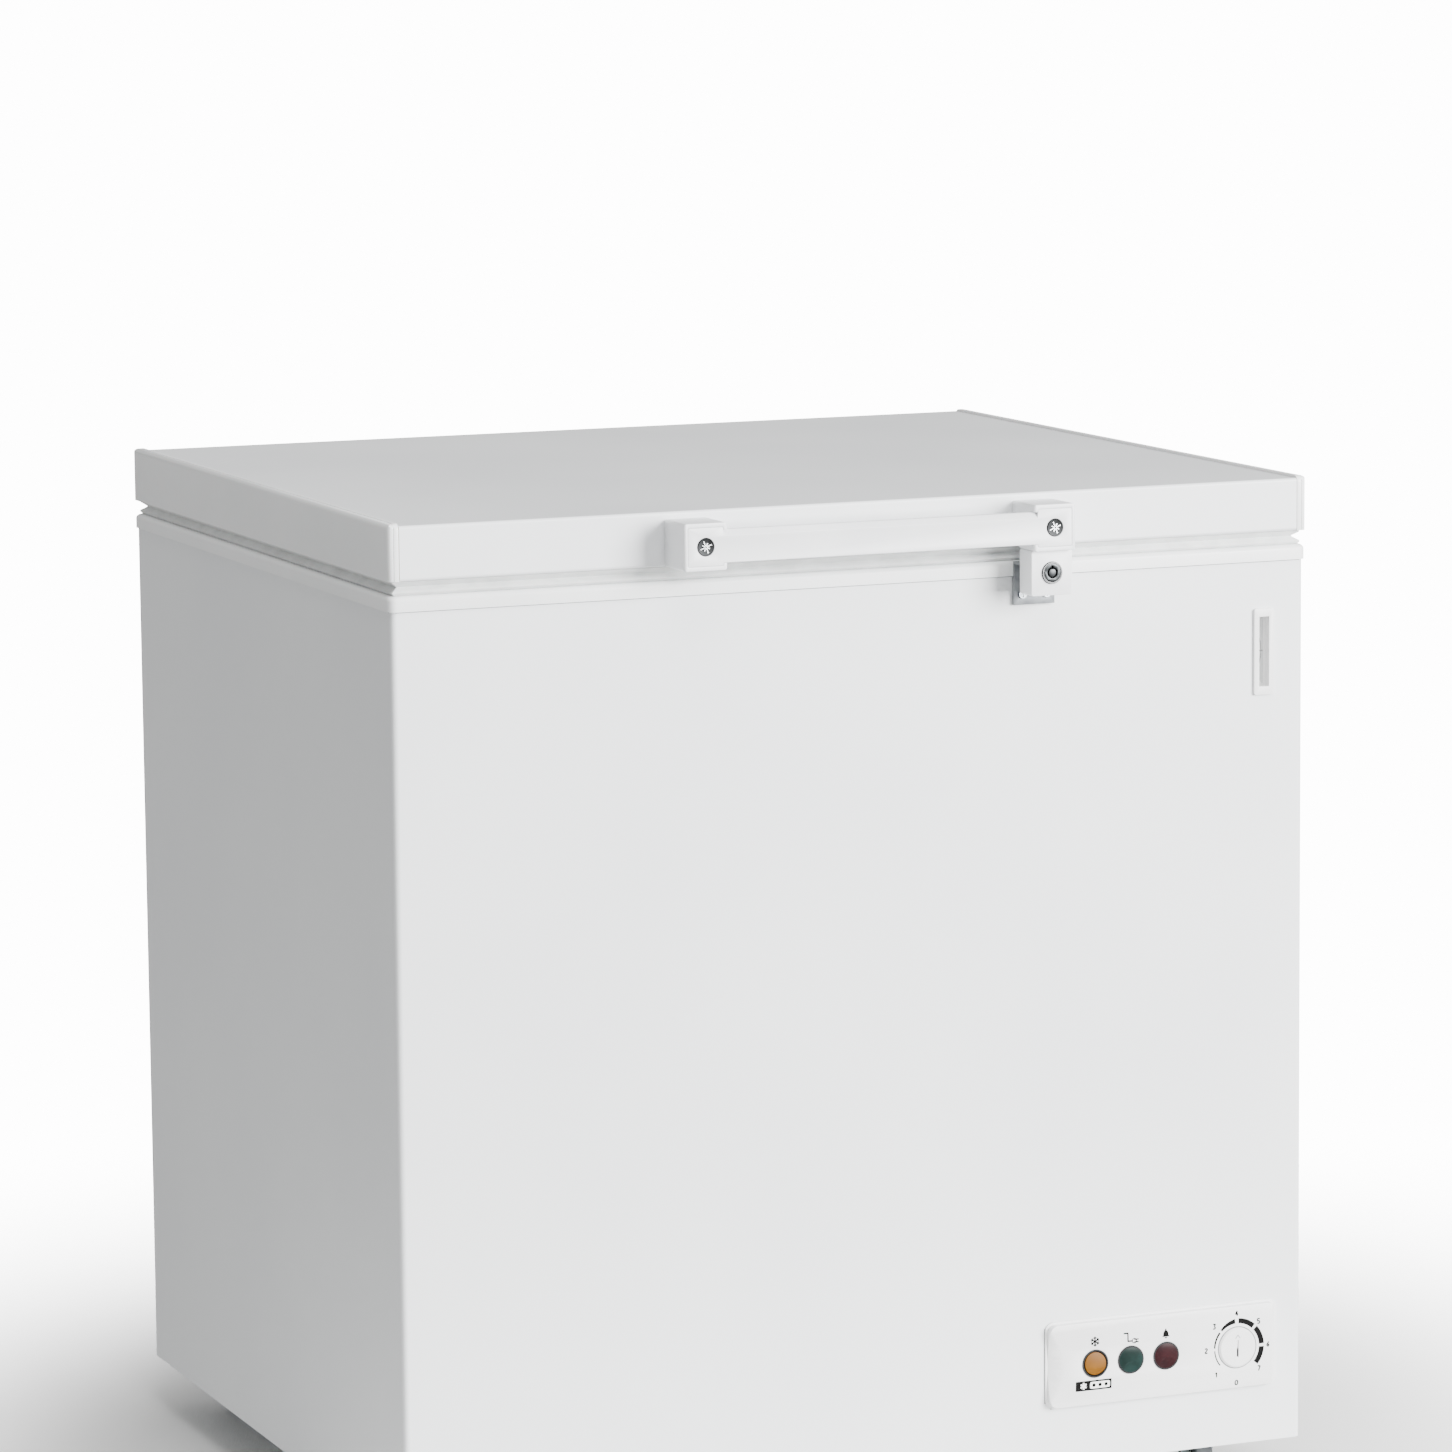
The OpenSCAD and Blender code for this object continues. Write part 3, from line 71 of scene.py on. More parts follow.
camera_data = bpy.data.cameras.new("camera")
camera_data.sensor_width = 36.0
camera_data.lens = 150.8
camera_data.shift_y = -0.0413
camera_data.clip_end = 60.0
camera = bpy.data.objects.new("camera", camera_data)
bpy.context.scene.collection.objects.link(camera)
bpy.context.scene.camera = camera
lid_low, lid_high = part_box("lid_skin")
lid_middle = Vector(((lid_low.x + lid_high.x) / 2, (lid_low.y + lid_high.y) / 2, lid_high.z))
camera.location = lid_middle + Vector((-1.9887, -4.8754, 0.5345))
CAMERA_YAW, CAMERA_PITCH, CAMERA_ROLL = 0.3910, 0.1345, -0.0091
camera.rotation_mode = "QUATERNION"
camera.rotation_quaternion = (
    Matrix.Rotation(-CAMERA_YAW, 3, "Z")
    @ Matrix.Rotation(math.pi / 2 - CAMERA_PITCH, 3, "X")
    @ Matrix.Rotation(CAMERA_ROLL, 3, "Z")
).to_quaternion()

world = bpy.data.worlds.new("studio")
bpy.context.scene.world = world
world.use_nodes = True
backdrop = world.node_tree.nodes["Background"]
backdrop.inputs["Color"].default_value = (1, 1, 1, 1)
# The room lights the freezer softly, while the paper behind it is lit on its own.
seen = add(world.node_tree, "ShaderNodeLightPath")
ROOM_GLOW, PAPER_GLOW = 0.6, 14.0
paper = add(world.node_tree, "ShaderNodeMapRange", {
    "Value": seen.outputs["Is Camera Ray"], "To Min": ROOM_GLOW, "To Max": PAPER_GLOW,
})
world.node_tree.links.new(paper.outputs["Result"], backdrop.inputs["Strength"])


def soft_light(name, place, aim, size, power):
    """A square area light at place, turned towards aim."""
    data = bpy.data.lights.new(name, "AREA")
    data.size = size
    data.energy = power
    light = bpy.data.objects.new(name, data)
    light.location = place
    light.rotation_mode = "QUATERNION"
    light.rotation_quaternion = (Vector(aim) - Vector(place)).to_track_quat("-Z", "Y")
    bpy.context.scene.collection.objects.link(light)


soft_light("key_light", (3.3, -4.9, 2.0), (0.0, 0.0, 0.45), 3.2, 1300.0)
soft_light("top_light", (-0.4, -2.2, 3.9), (0.0, 0.0, 0.8), 2.0, 110.0)

# The floor is a round sheet of white paper that fades into the backdrop.
floor_mesh = bpy.data.meshes.new("floor")
rim = [(3.0 * math.cos(math.radians(i * 5)), 3.0 * math.sin(math.radians(i * 5)), 0.0) for i in range(72)]
floor_mesh.from_pydata(rim, [], [tuple(range(72))])
floor = bpy.data.objects.new("floor", floor_mesh)
bpy.context.scene.collection.objects.link(floor)
floor_paint = bpy.data.materials.new("pale_studio_floor")
floor_paint.use_nodes = True
floor_tree = floor_paint.node_tree
floor_shader = floor_tree.nodes["Principled BSDF"]
floor_shader.inputs["Base Color"].default_value = srgb("#f2f2f1")
floor_shader.inputs["Roughness"].default_value = 0.7
floor_spot = add(floor_tree, "ShaderNodeTexCoord")
floor_reach = add(floor_tree, "ShaderNodeVectorMath", {0: floor_spot.outputs["Object"]}, operation="LENGTH")
floor_fade = add(floor_tree, "ShaderNodeMapRange", {
    "Value": floor_reach.outputs["Value"], "From Min": 0.5, "From Max": 1.5, "To Min": 1.0, "To Max": 0.0,
}, interpolation_type="SMOOTHSTEP")
floor_tree.links.new(floor_fade.outputs["Result"], floor_shader.inputs["Alpha"])
floor_mesh.materials.append(floor_paint)

# ---------------------------------------------------------------- cabinet sheet
# The wrapper is one sheet of 1 mm steel bent round the front and both sides. It is
# powder coated white: a satin coat with the faint orange peel of a sprayed finish.


def material(name, colour, roughness, **sockets):
    """A material with its plain values set on the shader's own sockets."""
    made = bpy.data.materials.new(name)
    made.use_nodes = True
    shader = made.node_tree.nodes["Principled BSDF"]
    shader.inputs["Base Color"].default_value = srgb(colour)
    shader.inputs["Roughness"].default_value = roughness
    for key, value in sockets.items():
        shader.inputs[key.replace("_", " ")].default_value = value
    made.diffuse_color = srgb(colour)
    return made


def grain(made, colours, spot_mm, roughness, relief_mm, relief_size_mm, stretch=(1, 1, 1), detail=2.0):
    """Gives a material uneven colour, uneven gloss and a fine relief, each at its real size."""
    tree = made.node_tree
    shader = tree.nodes["Principled BSDF"]
    place = add(tree, "ShaderNodeTexCoord")
    mapping = add(tree, "ShaderNodeMapping", {"Vector": place.outputs["Object"], "Scale": stretch})
    spots = add(tree, "ShaderNodeTexNoise",
        {"Vector": mapping.outputs[0], "Scale": 1000 / spot_mm, "Detail": detail})
    ramp = add(tree, "ShaderNodeValToRGB", {"Fac": spots.outputs["Fac"]})
    ramp.color_ramp.elements[0].position = 0.35
    ramp.color_ramp.elements[1].position = 0.65
    ramp.color_ramp.elements[0].color = srgb(colours[0])
    ramp.color_ramp.elements[1].color = srgb(colours[1])
    tree.links.new(ramp.outputs["Color"], shader.inputs["Base Color"])
    gloss = add(tree, "ShaderNodeMapRange", {
        "Value": spots.outputs["Fac"], "From Min": 0.3, "From Max": 0.7, "To Min": roughness[0],
        "To Max": roughness[1],
    })
    tree.links.new(gloss.outputs[0], shader.inputs["Roughness"])
    relief = add(tree, "ShaderNodeTexNoise", {
        "Vector": mapping.outputs[0], "Scale": 1000 / relief_size_mm, "Detail": 1.0,
    })
    bump = add(tree, "ShaderNodeBump", {"Height": relief.outputs["Fac"], "Distance": relief_mm * MM,
        "Strength": 1.0})
    tree.links.new(bump.outputs[0], shader.inputs["Normal"])
    return made


def dress(made, *names):
    """Gives CAD nodes their material."""
    for name in names:
        mesh = nodes[name].data
        mesh.materials.clear()
        mesh.materials.append(made)


# Polyester powder coat on steel, sprayed and baked: satin white, peel about 3 mm across.
powder_coat = grain(
    material("white_powder_coat", "#e8eaeb", 0.36, Coat_Weight=0.15, Coat_Roughness=0.2),
    ("#e5e7e9", "#e9ebec"), 240.0, (0.34, 0.4), 0.02, 3.0,
)
dress(powder_coat, "cabinet_wrapper")

# ---------------------------------------------------------------- rear wall, base, bay and foam
# The rear wall, the base, the bay lining and the compressor tray are bare hot-dip
# galvanised steel, cut and folded. Behind them the walls are filled with yellow foam.

# Zinc spangle: crystals about 9 mm across, each with its own grey and gloss.
galvanised = material("galvanised_steel", "#a9adb0", 0.42, Metallic=0.85)
zinc_tree = galvanised.node_tree
zinc_shader = zinc_tree.nodes["Principled BSDF"]
zinc_place = add(zinc_tree, "ShaderNodeTexCoord")
zinc_cells = add(zinc_tree, "ShaderNodeTexVoronoi",
    {"Vector": zinc_place.outputs["Object"], "Scale": 1000 / 9.0})
zinc_grey = add(zinc_tree, "ShaderNodeSeparateColor", {"Color": zinc_cells.outputs["Color"]})
zinc_ramp = add(zinc_tree, "ShaderNodeValToRGB", {"Fac": zinc_grey.outputs[0]})
zinc_ramp.color_ramp.elements[0].color = srgb("#9ea3a6")
zinc_ramp.color_ramp.elements[1].color = srgb("#b6babc")
zinc_tree.links.new(zinc_ramp.outputs["Color"], zinc_shader.inputs["Base Color"])
zinc_gloss = add(zinc_tree, "ShaderNodeMapRange",
    {"Value": zinc_grey.outputs[1], "To Min": 0.34, "To Max": 0.52})
zinc_tree.links.new(zinc_gloss.outputs[0], zinc_shader.inputs["Roughness"])
dress(galvanised, "rear_panel", "base_plate", "machine_bay_lining", "compressor_tray", "rear_cover")

# Rigid polyurethane foam: matt, straw yellow, with open bubbles about 2 mm across.
foam = grain(
    material("polyurethane_foam", "#dcc891", 0.9), ("#d8c287", "#e3d3a2"), 30.0, (0.85, 0.95), 0.4, 2.0,
)
dress(foam, "cabinet_insulation", "lid_insulation")

# ---------------------------------------------------------------- tank
# The tank is folded from stucco-embossed aluminium sheet, with a step over the
# machine bay, and it is held by the foam behind it.

# Mill-finish aluminium rolled with a stucco pattern, pips about 4 mm apart.
stucco_aluminium = material("stucco_aluminium", "#d3d6d7", 0.34, Metallic=0.9)
stucco_tree = stucco_aluminium.node_tree
stucco_place = add(stucco_tree, "ShaderNodeTexCoord")
stucco_cells = add(stucco_tree, "ShaderNodeTexVoronoi", {
    "Vector": stucco_place.outputs["Object"], "Scale": 1000 / 4.0, "Smoothness": 1.0,
}, feature="SMOOTH_F1")
stucco_bump = add(stucco_tree, "ShaderNodeBump", {
    "Height": stucco_cells.outputs["Distance"], "Distance": 0.0006, "Strength": 0.8,
})
stucco_tree.links.new(stucco_bump.outputs[0], stucco_tree.nodes["Principled BSDF"].inputs["Normal"])
stucco_haze = add(stucco_tree, "ShaderNodeTexNoise",
    {"Vector": stucco_place.outputs["Object"], "Scale": 12.0})
stucco_gloss = add(stucco_tree, "ShaderNodeMapRange",
    {"Value": stucco_haze.outputs["Fac"], "To Min": 0.28, "To Max": 0.42})
stucco_tree.links.new(stucco_gloss.outputs[0], stucco_tree.nodes["Principled BSDF"].inputs["Roughness"])
dress(stucco_aluminium, "tank_liner")

# ---------------------------------------------------------------- mouth frame
# A moulded frame covers the raw edges of the wrapper and the tank round the mouth.
# It is extruded white plastic, cut at 45 degrees and pressed over both edges.


def piece(name, verts, faces, finish, body, *replaced, smooth=True):
    """A finished mesh piece in the row frame that rides on a body."""
    mesh = bpy.data.meshes.new(name)
    mesh.from_pydata([tuple(v) for v in verts], [], faces)
    made = bpy.data.objects.new(name, mesh)
    bpy.context.scene.collection.objects.link(made)
    return finished(made, finish, body, *replaced, smooth=smooth)


def finished(made, finish, body, *replaced, smooth=True, crease=40):
    """Cleans a piece's mesh, gives it its finish and fixes it to its body."""
    mesh = made.data
    sweep = bmesh.new()
    sweep.from_mesh(mesh)
    bmesh.ops.remove_doubles(sweep, verts=sweep.verts, dist=1e-6)
    bmesh.ops.recalc_face_normals(sweep, faces=sweep.faces)
    for edge in sweep.edges:
        edge.smooth = len(edge.link_faces) != 2 or edge.calc_face_angle(0) < math.radians(crease)
    for face in sweep.faces:
        face.smooth = smooth
    sweep.to_mesh(mesh)
    sweep.free()
    mesh.materials.clear()
    mesh.materials.append(finish)
    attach(made, body)
    if replaced:
        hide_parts(*replaced)
    return made


def ring(profile, low, high, outer_r, inner_r, steps=8):
    """Sweeps a closed profile of (inset, height) points round a rectangle with round corners.

    The corner radius goes from outer_r at no inset to inner_r at the deepest inset.
    """
    deepest = max(inset for inset, height in profile)
    verts = []
    for quarter, (sx, sy) in enumerate([(1, 1), (-1, 1), (-1, -1), (1, -1)]):
        for step in range(steps + 1):
            angle = math.radians(90 * quarter + 90 * step / steps)
            for inset, height in profile:
                radius = outer_r + (inner_r - outer_r) * inset / deepest
                x = (high.x if sx > 0 else low.x) - sx * (inset + radius) + radius * math.cos(angle)
                y = (high.y if sy > 0 else low.y) - sy * (inset + radius) + radius * math.sin(angle)
                verts.append((x, y, height))
    count, points = 4 * (steps + 1), len(profile)
    faces = []
    for i in range(count):
        j = (i + 1) % count
        for k in range(points):
            m = (k + 1) % points
            faces.append((i * points + k, j * points + k, j * points + m, i * points + m))
    return verts, faces


def arc(cx, cy, radius, start, end, steps):
    """Points on an arc in a profile, angles in degrees."""
    turns = [math.radians(start + (end - start) * i / steps) for i in range(steps + 1)]
    return [(cx + radius * math.cos(t), cy + radius * math.sin(t)) for t in turns]


# White polypropylene: soft gloss, with a fine moulded grain that takes off the shine.
white_plastic = grain(
    material("white_polypropylene", "#eceeee", 0.34, IOR=1.49, Subsurface_Weight=0.04,
        Subsurface_Scale=0.004),
    ("#eaecec", "#eff0f0"), 90.0, (0.3, 0.38), 0.01, 0.8,
)
RIM_EDGE = 4 * MM
rim_low, rim_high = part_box("top_frame")
rim_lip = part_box("tank_liner")[0].x - rim_low.x
rim_outline = [(0.0, rim_low.z)] + arc(RIM_EDGE, rim_high.z - RIM_EDGE, RIM_EDGE, 180, 90, 7)
rim_outline += arc(rim_lip - 1 * MM, rim_high.z - 2 * MM, 2 * MM, 90, 0, 4)
rim_outline += [(rim_lip + 1 * MM, rim_low.z), (rim_lip - 1 * MM, rim_low.z),
    (rim_lip - 1 * MM, rim_low.z + 5 * MM)]
rim_outline += [(3 * MM, rim_low.z + 5 * MM), (3 * MM, rim_low.z)]
piece("mouth_frame", *ring(rim_outline, rim_low, rim_high, 7 * MM, 28 * MM), white_plastic, "cabinet",
    "top_frame")

# ---------------------------------------------------------------- cooling circuit
# Copper tube is wound round the tank and joins a black steel condenser in the rear
# wall to the compressor, a welded pot on rubber feet. None of it shows from outside.

# Soft-drawn copper: dull orange brown, with darker patches where it has been handled.
copper = grain(
    material("drawn_copper", "#b5713c", 0.38, Metallic=1.0), ("#9a5a2e", "#c98450"), 30.0, (0.3, 0.5), 0.02,
    1.5,
)
dress(copper, "evaporator_coil", "refrigerant_lines", "filter_drier")
# Black stoved enamel on steel, slightly rippled.
black_enamel = grain(
    material("black_enamel", "#17181a", 0.4, Coat_Weight=0.2), ("#141517", "#1d1e20"), 50.0, (0.32, 0.46),
    0.05, 4.0,
)
dress(black_enamel, "compressor", "condenser_coil")
# Black nitrile rubber: matt, with a fine mould texture and a little dust.
rubber = grain(
    material("black_rubber", "#202122", 0.75), ("#1b1c1d", "#2a2b2b"), 8.0, (0.65, 0.85), 0.03, 0.6,
)
dress(rubber, "compressor_mounts", "cord_gland")
# Glass-filled nylon: near black, with a coarse spark texture.
black_nylon = grain(
    material("black_nylon", "#131416", 0.5, Specular_IOR_Level=0.3), ("#101113", "#17181a"), 20.0,
    (0.44, 0.58), 0.04, 0.7,
)
dress(black_nylon, "starter_cover", "thermostat_body", "wiring_loom")
# Bright zinc plating on small steel parts: silver with a faint bluish haze.
zinc_plate = grain(
    material("zinc_plated_steel", "#b4b9be", 0.3, Metallic=1.0), ("#a6acb2", "#c3c7ca"), 12.0, (0.24, 0.4),
    0.01, 0.5,
)
dress(zinc_plate, "compressor_bolts", "catch_screws", "handle_screws", "lock_cam")

# ---------------------------------------------------------------- side grille
# A moulded louvre grille is clipped into the right side so that air can reach the
# compressor. Its blades slope down and outwards, one over each slot.


def tree_of(name, *inputs):
    """An empty geometry tree with an output and the named inputs (name, kind, default)."""
    tree = bpy.data.node_groups.new(name, "GeometryNodeTree")
    tree.interface.new_socket("Geometry", in_out="INPUT", socket_type="NodeSocketGeometry")
    tree.interface.new_socket("Geometry", in_out="OUTPUT", socket_type="NodeSocketGeometry")
    for label, kind, default in inputs:
        socket = tree.interface.new_socket(label, in_out="INPUT", socket_type="NodeSocket" + kind)
        if default is not None:
            socket.default_value = default
    return tree, tree.nodes.new("NodeGroupInput"), tree.nodes.new("NodeGroupOutput")


def close_tree(tree, geometry, finish, out):
    """Ends a tree with Realize Instances and Set Material."""
    solid = add(tree, "GeometryNodeRealizeInstances", {"Geometry": geometry})
    coated = add(tree, "GeometryNodeSetMaterial", {"Geometry": solid.outputs[0], "Material": finish})
    tree.links.new(coated.outputs[0], out.inputs[0])


def grow(name, tree, finish, body, *replaced, source=None, values=None, crease=40):
    """Runs a geometry tree on a source mesh and keeps the result as a plain mesh piece."""
    seed = bpy.data.objects.new(name + "_seed", source or bpy.data.meshes.new(name + "_seed"))
    bpy.context.scene.collection.objects.link(seed)
    modifier = seed.modifiers.new("grow", "NODES")
    modifier.node_group = tree
    for item in tree.interface.items_tree:
        if item.item_type == "SOCKET" and item.in_out == "INPUT" and item.name in (values or {}):
            modifier[item.identifier] = values[item.name]
    bpy.context.view_layer.update()
    shown = seed.evaluated_get(bpy.context.evaluated_depsgraph_get())
    mesh = bpy.data.meshes.new_from_object(shown)
    mesh.name = name
    seed.modifiers.clear()
    bpy.data.objects.remove(seed)
    made = bpy.data.objects.new(name, mesh)
    bpy.context.scene.collection.objects.link(made)
    return finished(made, finish, body, *replaced, crease=crease)


def row_tree(name, finish):
    """Copies the source mesh count times, step apart, from start."""
    tree, given, out = tree_of(
        name, ("Count", "Int", 2), ("Start", "Vector", None), ("Step", "Vector", None),
    )
    line = add(tree, "GeometryNodeMeshLine", {
        "Count": given.outputs["Count"], "Start Location": given.outputs["Start"],
        "Offset": given.outputs["Step"],
    })
    copies = add(tree, "GeometryNodeInstanceOnPoints",
        {"Points": line.outputs[0], "Instance": given.outputs[0]})
    close_tree(tree, copies.outputs[0], finish, out)
    return tree


def extruded(outline, axis, start, end):
    """Mesh data of a closed outline carried along x, y or z. The outline is in the other two axes."""
    verts = []
    for place in (start, end):
        for u, v in outline:
            verts.append({"x": (place, u, v), "y": (u, place, v), "z": (u, v, place)}[axis])
    n = len(outline)
    faces = [tuple(range(n)), tuple(range(2 * n - 1, n - 1, -1))]
    faces += [(i, (i + 1) % n, n + (i + 1) % n, n + i) for i in range(n)]
    return verts, faces


def source_mesh(name, verts, faces):
    """A bare mesh for a tree to copy."""
    mesh = bpy.data.meshes.new(name)
    mesh.from_pydata([tuple(v) for v in verts], [], faces)
    return mesh


BLADES, BLADE_PITCH, BLADE_T = 10, 10.6 * MM, 1.2 * MM
grille_low, grille_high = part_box("side_grille")
blade_outline = [(0, 5 * MM), (0, 5 * MM + BLADE_T), (-4.4 * MM, 7.6 * MM + BLADE_T), (-4.4 * MM, 7.6 * MM)]
blade = source_mesh("grille_blade", *extruded(
    [(x, z) for x, z in blade_outline], "y", grille_low.y + 15 * MM, grille_high.y - 15 * MM,
))
dress(white_plastic, "side_grille")
grille_blades = grow(
    "side_grille_blades", row_tree("grille_blades", white_plastic), white_plastic, "cabinet", source=blade,
    values={
        "Count": BLADES, "Start": (grille_high.x - 0.3 * MM, 0, grille_low.z + 13 * MM - 2.5 * MM),
        "Step": (0, 0, BLADE_PITCH),
    },
)

# ---------------------------------------------------------------- rear cover
# The service opening is shut by a folded steel plate with pressed louvres, held by
# six pan-head screws. The mains lead would come through the rubber bush in it.
LOUVRES, LOUVRE_PITCH = 14, 10 * MM
cover_low, cover_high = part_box("rear_cover")
cover_face = cover_low.y + 1.2 * MM
LOUVRE_REACH, LOUVRE_TALL = 3.4 * MM, 4.2 * MM
louvre_outline = [(cover_face, LOUVRE_TALL)] + [
    (cover_face + LOUVRE_REACH * math.sin(math.radians(a)), LOUVRE_TALL * math.cos(math.radians(a)))
    for a in range(15, 91, 15)
] + [(cover_face + 2.8 * MM, 0), (cover_face, 3.5 * MM)]
LOUVRE_INSET = 23 * MM
louvre = source_mesh(
    "louvre", *extruded(louvre_outline, "x", cover_low.x + LOUVRE_INSET, cover_high.x - LOUVRE_INSET)
)
rear_louvres = grow(
    "rear_cover_louvres", row_tree("cover_louvres", galvanised), galvanised, "cabinet", source=louvre,
    values={"Count": LOUVRES, "Start": (0, 0, cover_low.z + 70 * MM), "Step": (0, 0, LOUVRE_PITCH)},
)
dress(zinc_plate, "cover_screws")

# ---------------------------------------------------------------- control panel
# One white moulding is clipped over the machine bay's front. It has a thin flange,
# a raised face and a scooped left end, with black marks pad-printed on its face.


def softened(name, cad_name, finish, body, width, segments=3):
    """A copy of a CAD node with its sharp edges rounded, standing for the node."""
    mesh = nodes[cad_name].data.copy()
    mesh.name = name
    form = bmesh.new()
    form.from_mesh(mesh)
    bmesh.ops.remove_doubles(form, verts=form.verts, dist=2e-6)
    bmesh.ops.dissolve_limit(form, angle_limit=math.radians(0.5), verts=form.verts, edges=form.edges)
    form.to_mesh(mesh)
    form.free()
    made = bpy.data.objects.new(name, mesh)
    bpy.context.scene.collection.objects.link(made)
    bevel = made.modifiers.new("bevel", "BEVEL")
    bevel.width = width
    bevel.segments = segments
    bevel.limit_method = "ANGLE"
    bevel.angle_limit = math.radians(50)
    bevel.use_clamp_overlap = True
    bpy.context.view_layer.update()
    rounded = bpy.data.meshes.new_from_object(made.evaluated_get(bpy.context.evaluated_depsgraph_get()))
    made.modifiers.clear()
    made.data = rounded
    rounded.name = name
    return finished(made, finish, body, cad_name, crease=35)


# White ABS with a fine matt grain, a touch warmer than the steel beside it.
panel_abs = grain(
    material("white_abs", "#ebebeb", 0.4, IOR=1.53), ("#eaeaea", "#eeeeee"), 60.0, (0.36, 0.44), 0.008, 0.5,
)
softened("control_panel_moulding", "control_panel", panel_abs, "cabinet", 0.7 * MM)
# Black pad-printing ink: a matt film too thin to cast a shadow.
print_ink = grain(
    material("black_printing_ink", "#0a0a0a", 0.85, Specular_IOR_Level=0.12), ("#080808", "#0c0c0c"), 6.0,
    (0.8, 0.9), 0.002, 0.4,
)
INK_T = 0.11 * MM
panel_low, panel_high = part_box("control_panel")
CROWN_R = 400 * MM
panel_mid_z = (panel_low.z + panel_high.z) / 2


def inked(name, flats, front_y, body="cabinet", crown=True, finish=None):
    """Thin printed marks: each flat is an outline in x and z, laid on the crowned face."""
    verts, faces = [], []
    for outline in flats:
        start, n = len(verts), len(outline)
        for lift in (INK_T, -INK_T):
            for x, z in outline:
                fall = CROWN_R - math.sqrt(CROWN_R**2 - (z - panel_mid_z) ** 2) if crown else 0
                verts.append((x, front_y + fall - lift, z))
        faces.append(tuple(range(start, start + n)))
        faces.append(tuple(range(start + 2 * n - 1, start + n - 1, -1)))
        faces += [(start + i, start + n + i, start + n + (i + 1) % n,
            start + (i + 1) % n) for i in range(n)]
    made = piece(name, verts, faces, finish or print_ink, body, smooth=False)
    return made


def stroke(x0, z0, x1, z1, width):
    """Outline of a straight line of the given pen width, to which the ink adds a half as it spreads."""
    length = math.hypot(x1 - x0, z1 - z0)
    u, v = (z0 - z1) / length * width * 0.75, (x1 - x0) / length * width * 0.75
    return [(x0 + u, z0 + v), (x1 + u, z1 + v), (x1 - u, z1 - v), (x0 - u, z0 - v)]


def band(cx, cz, inner, outer, start, end, steps=14):
    """Outlines of a ring sector, angles in degrees anticlockwise from +x, as short quads."""
    quads = []
    for i in range(steps):
        a, b = (math.radians(start + (end - start) * (i + k) / steps) for k in (0, 1))
        r0 = outer[0] + (outer[1] - outer[0]) * i / steps
        r1 = outer[0] + (outer[1] - outer[0]) * (i + 1) / steps
        quads.append([
            (cx + inner * math.cos(a), cz + inner * math.sin(a)),
            (cx + r0 * math.cos(a), cz + r0 * math.sin(a)),
            (cx + r1 * math.cos(b), cz + r1 * math.sin(b)),
            (cx + inner * math.cos(b), cz + inner * math.sin(b)),
        ])
    return quads


def seven_strokes(digit, x, z, height):
    """A figure drawn with the strokes of a plain engraved numeral, centred on x and z."""
    w, h = height * 0.28, height / 2
    lines = {
        "0": [(-w, h * 0.6, -w, -h * 0.6), (w, h * 0.6, w, -h * 0.6), (-w, h * 0.6, 0, h),
            (w, h * 0.6, 0, h),
              (-w, -h * 0.6, 0, -h), (w, -h * 0.6, 0, -h)],
        "1": [(0, h, 0, -h), (-w, h * 0.55, 0, h)],
        "2": [(-w, h * 0.6, 0, h), (0, h, w, h * 0.5), (w, h * 0.5, -w, -h), (-w, -h, w, -h)],
        "3": [(-w, h, w, h), (w, h, 0, 0.1 * h), (0, 0.1 * h, w, -h * 0.45), (w, -h * 0.45, 0, -h),
            (0, -h, -w, -h * 0.8)],
        "4": [(w * 0.4, -h, w * 0.4, h), (w * 0.4, h, -w, -h * 0.3), (-w, -h * 0.3, w * 1.2, -h * 0.3)],
        "5": [(w, h, -w, h), (-w, h, -w, 0.1 * h), (-w, 0.1 * h, w * 0.5, 0.15 * h),
            (w * 0.5, 0.15 * h, w, -h * 0.4),
              (w, -h * 0.4, 0, -h), (0, -h, -w, -h * 0.8)],
        "6": [(w * 0.7, h, -w, -h * 0.3), (-w, -h * 0.3, 0, -h), (0, -h, w, -h * 0.4),
            (w, -h * 0.4, 0, 0.1 * h),
              (0, 0.1 * h, -w, -h * 0.3)],
        "7": [(-w, h, w, h), (w, h, -w * 0.3, -h)],
    }[digit]
    return [stroke(x + a, z + b, x + c, z + d, height * 0.17) for a, b, c, d in lines]


knob_low, knob_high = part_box("thermostat_knob")
knob_x, knob_z = (knob_low.x + knob_high.x) / 2, (knob_low.z + knob_high.z) / 2
BAND_INNER = 20.9 * MM
dial_marks = []
for start, end, outer in [
    (221, 183, (21.9, 21.9)), (177, 139, (22.2, 22.6)), (133, 94, (22.9, 25.0)),
    (86, 48, (25.3, 25.5)), (42, 3, (25.6, 25.7)), (-3, -40, (25.7, 25.7)),
]:
    dial_marks += band(knob_x, knob_z, BAND_INNER, (outer[0] * MM, outer[1] * MM), start, end)
for figure, angle in enumerate([-90, -131, 180, 137, 90, 45, 0, -44]):
    reach = (29.5 if figure else 31.0) * MM
    turn = math.radians(angle)
    dial_marks += seven_strokes(str(figure), knob_x + reach * math.cos(turn),
        knob_z + reach * math.sin(turn), 4.2 * MM)
inked("dial_print", dial_marks, panel_low.y)

lamp_low, lamp_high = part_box("lamp_housings")
LAMP_R = (lamp_high.z - lamp_low.z) / 2
lamp_xs = [lamp_low.x + LAMP_R + i * ((lamp_high.x - lamp_low.x) / 2 - LAMP_R) for i in range(3)]
icon_z = panel_mid_z + 19 * MM
icons = []
